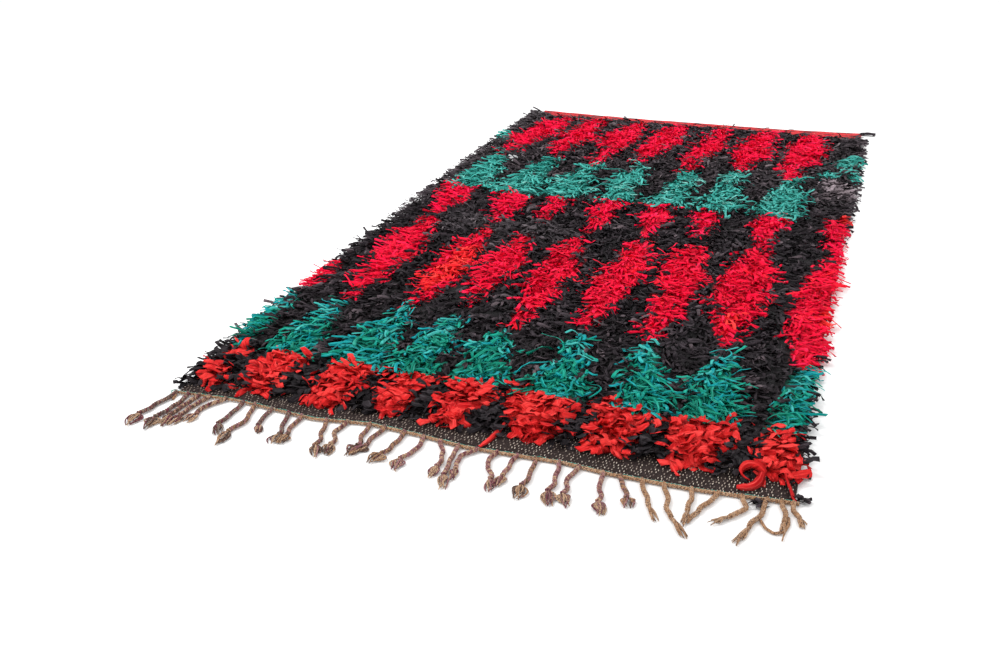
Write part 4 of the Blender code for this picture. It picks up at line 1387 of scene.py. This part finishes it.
# Each light's name, place, aim, size and power.
LIGHTS = [
    ("key_light", (-2.2, -1.2, 3.2), (0.0, -0.1, 0.0), 1.6, 75.0),
    ("back_light", (1.4, 3.4, 2.8), (0.0, 0.9, 0.0), 1.6, 60.0),
]


def make_camera():
    """The photo's camera."""
    data = bpy.data.cameras.new("photo camera")
    data.lens = LENS
    data.sensor_width = 36.0
    data.clip_start = 0.05
    camera = bpy.data.objects.new("photo_camera", data)
    ahead = CAMERA_AHEAD.normalized()
    right = (CAMERA_RIGHT - ahead * CAMERA_RIGHT.dot(ahead)).normalized()
    over = right.cross(ahead)
    turn = Matrix((right, over, -ahead)).transposed().to_4x4()
    camera.matrix_world = Matrix.Translation(CAMERA_PLACE) @ turn
    bpy.context.scene.collection.objects.link(camera)
    bpy.context.scene.camera = camera


def make_floor():
    """The pale floor, for the picture only."""
    bm = bmesh.new()
    bmesh.ops.create_grid(bm, x_segments=4, y_segments=4, size=14.0)
    for vert in bm.verts:
        vert.co.z = FLOOR_LEVEL
    shader = Shader("pale floor", roughness=0.9, specular=0.1)
    shader.cloth.inputs["Base Color"].default_value = FLOOR_COLOUR
    floor = add_object(mesh_of(bm, "pale_floor", smooth=False), shader.material)


def area_light(name, place, aim, size, power):
    data = bpy.data.lights.new(name, "AREA")
    data.shape = "SQUARE"
    data.size = size
    data.energy = power
    light = bpy.data.objects.new(name, data)
    light.location = place
    light.rotation_euler = (Vector(aim) - Vector(place)).to_track_quat("-Z", "Y").to_euler()
    bpy.context.scene.collection.objects.link(light)


def make_light():
    """A bright even room with two soft lamps."""
    world = bpy.data.worlds.new("studio")
    bpy.context.scene.world = world
    world.use_nodes = True
    background = world.node_tree.nodes["Background"]
    background.inputs["Color"].default_value = (1.0, 1.0, 1.0, 1.0)
    background.inputs["Strength"].default_value = SKY_STRENGTH
    for light in LIGHTS:
        area_light(*light)
    bpy.context.scene.view_settings.view_transform = "Standard"


# Putting it together.
def main():
    """Grows every piece, sets each on the root body, and hides the solids that the pieces stand in for."""
    make_camera()
    make_floor()
    make_light()
    cuts = make_cuts()
    ground = make_ground()
    flecks = grow_rags("warp_flecks", cuts[FLECK.name][0], fleck_yarn(), fleck_roots())
    base = make_base()
    pile = make_pile(cuts)
    red_strays = make_strays("red_stray_strips", RED_STRAYS, orange_rag(), 5)
    green_strays = make_strays("green_stray_strips", GREEN_STRAYS, green_rag(), 9)
    # The loose end strips at the far end take the charcoal painted lighter.
    dark_strays = make_strays("loose_end_strips", DARK_STRAYS, far_lit_charcoal_rag(), 6)
    fringe = make_fringe()
    dice = np.random.default_rng(8)
    ends = {name: grow_rags(name + "_folds", cuts[SOFT.name][0], charcoal_rag(), rag_end_roots(end, dice))
            for name, end in RAG_ENDS.items()}
    clear_cuts(cuts)
    slots = {"ground_cloth": [ground, flecks], "pile_rags": [base, red_strays, green_strays, *pile],
             "warp_yarn": [fringe], "dark_rags": [dark_strays, *ends.values()]}
    for slot, pieces in slots.items():
        for piece in pieces:
            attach(piece, "root")
    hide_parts("ground_weave")
    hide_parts("rag_pile")
    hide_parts("fringe")
    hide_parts("loose_end")
    for name, piece in ends.items():
        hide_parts(name)


main()
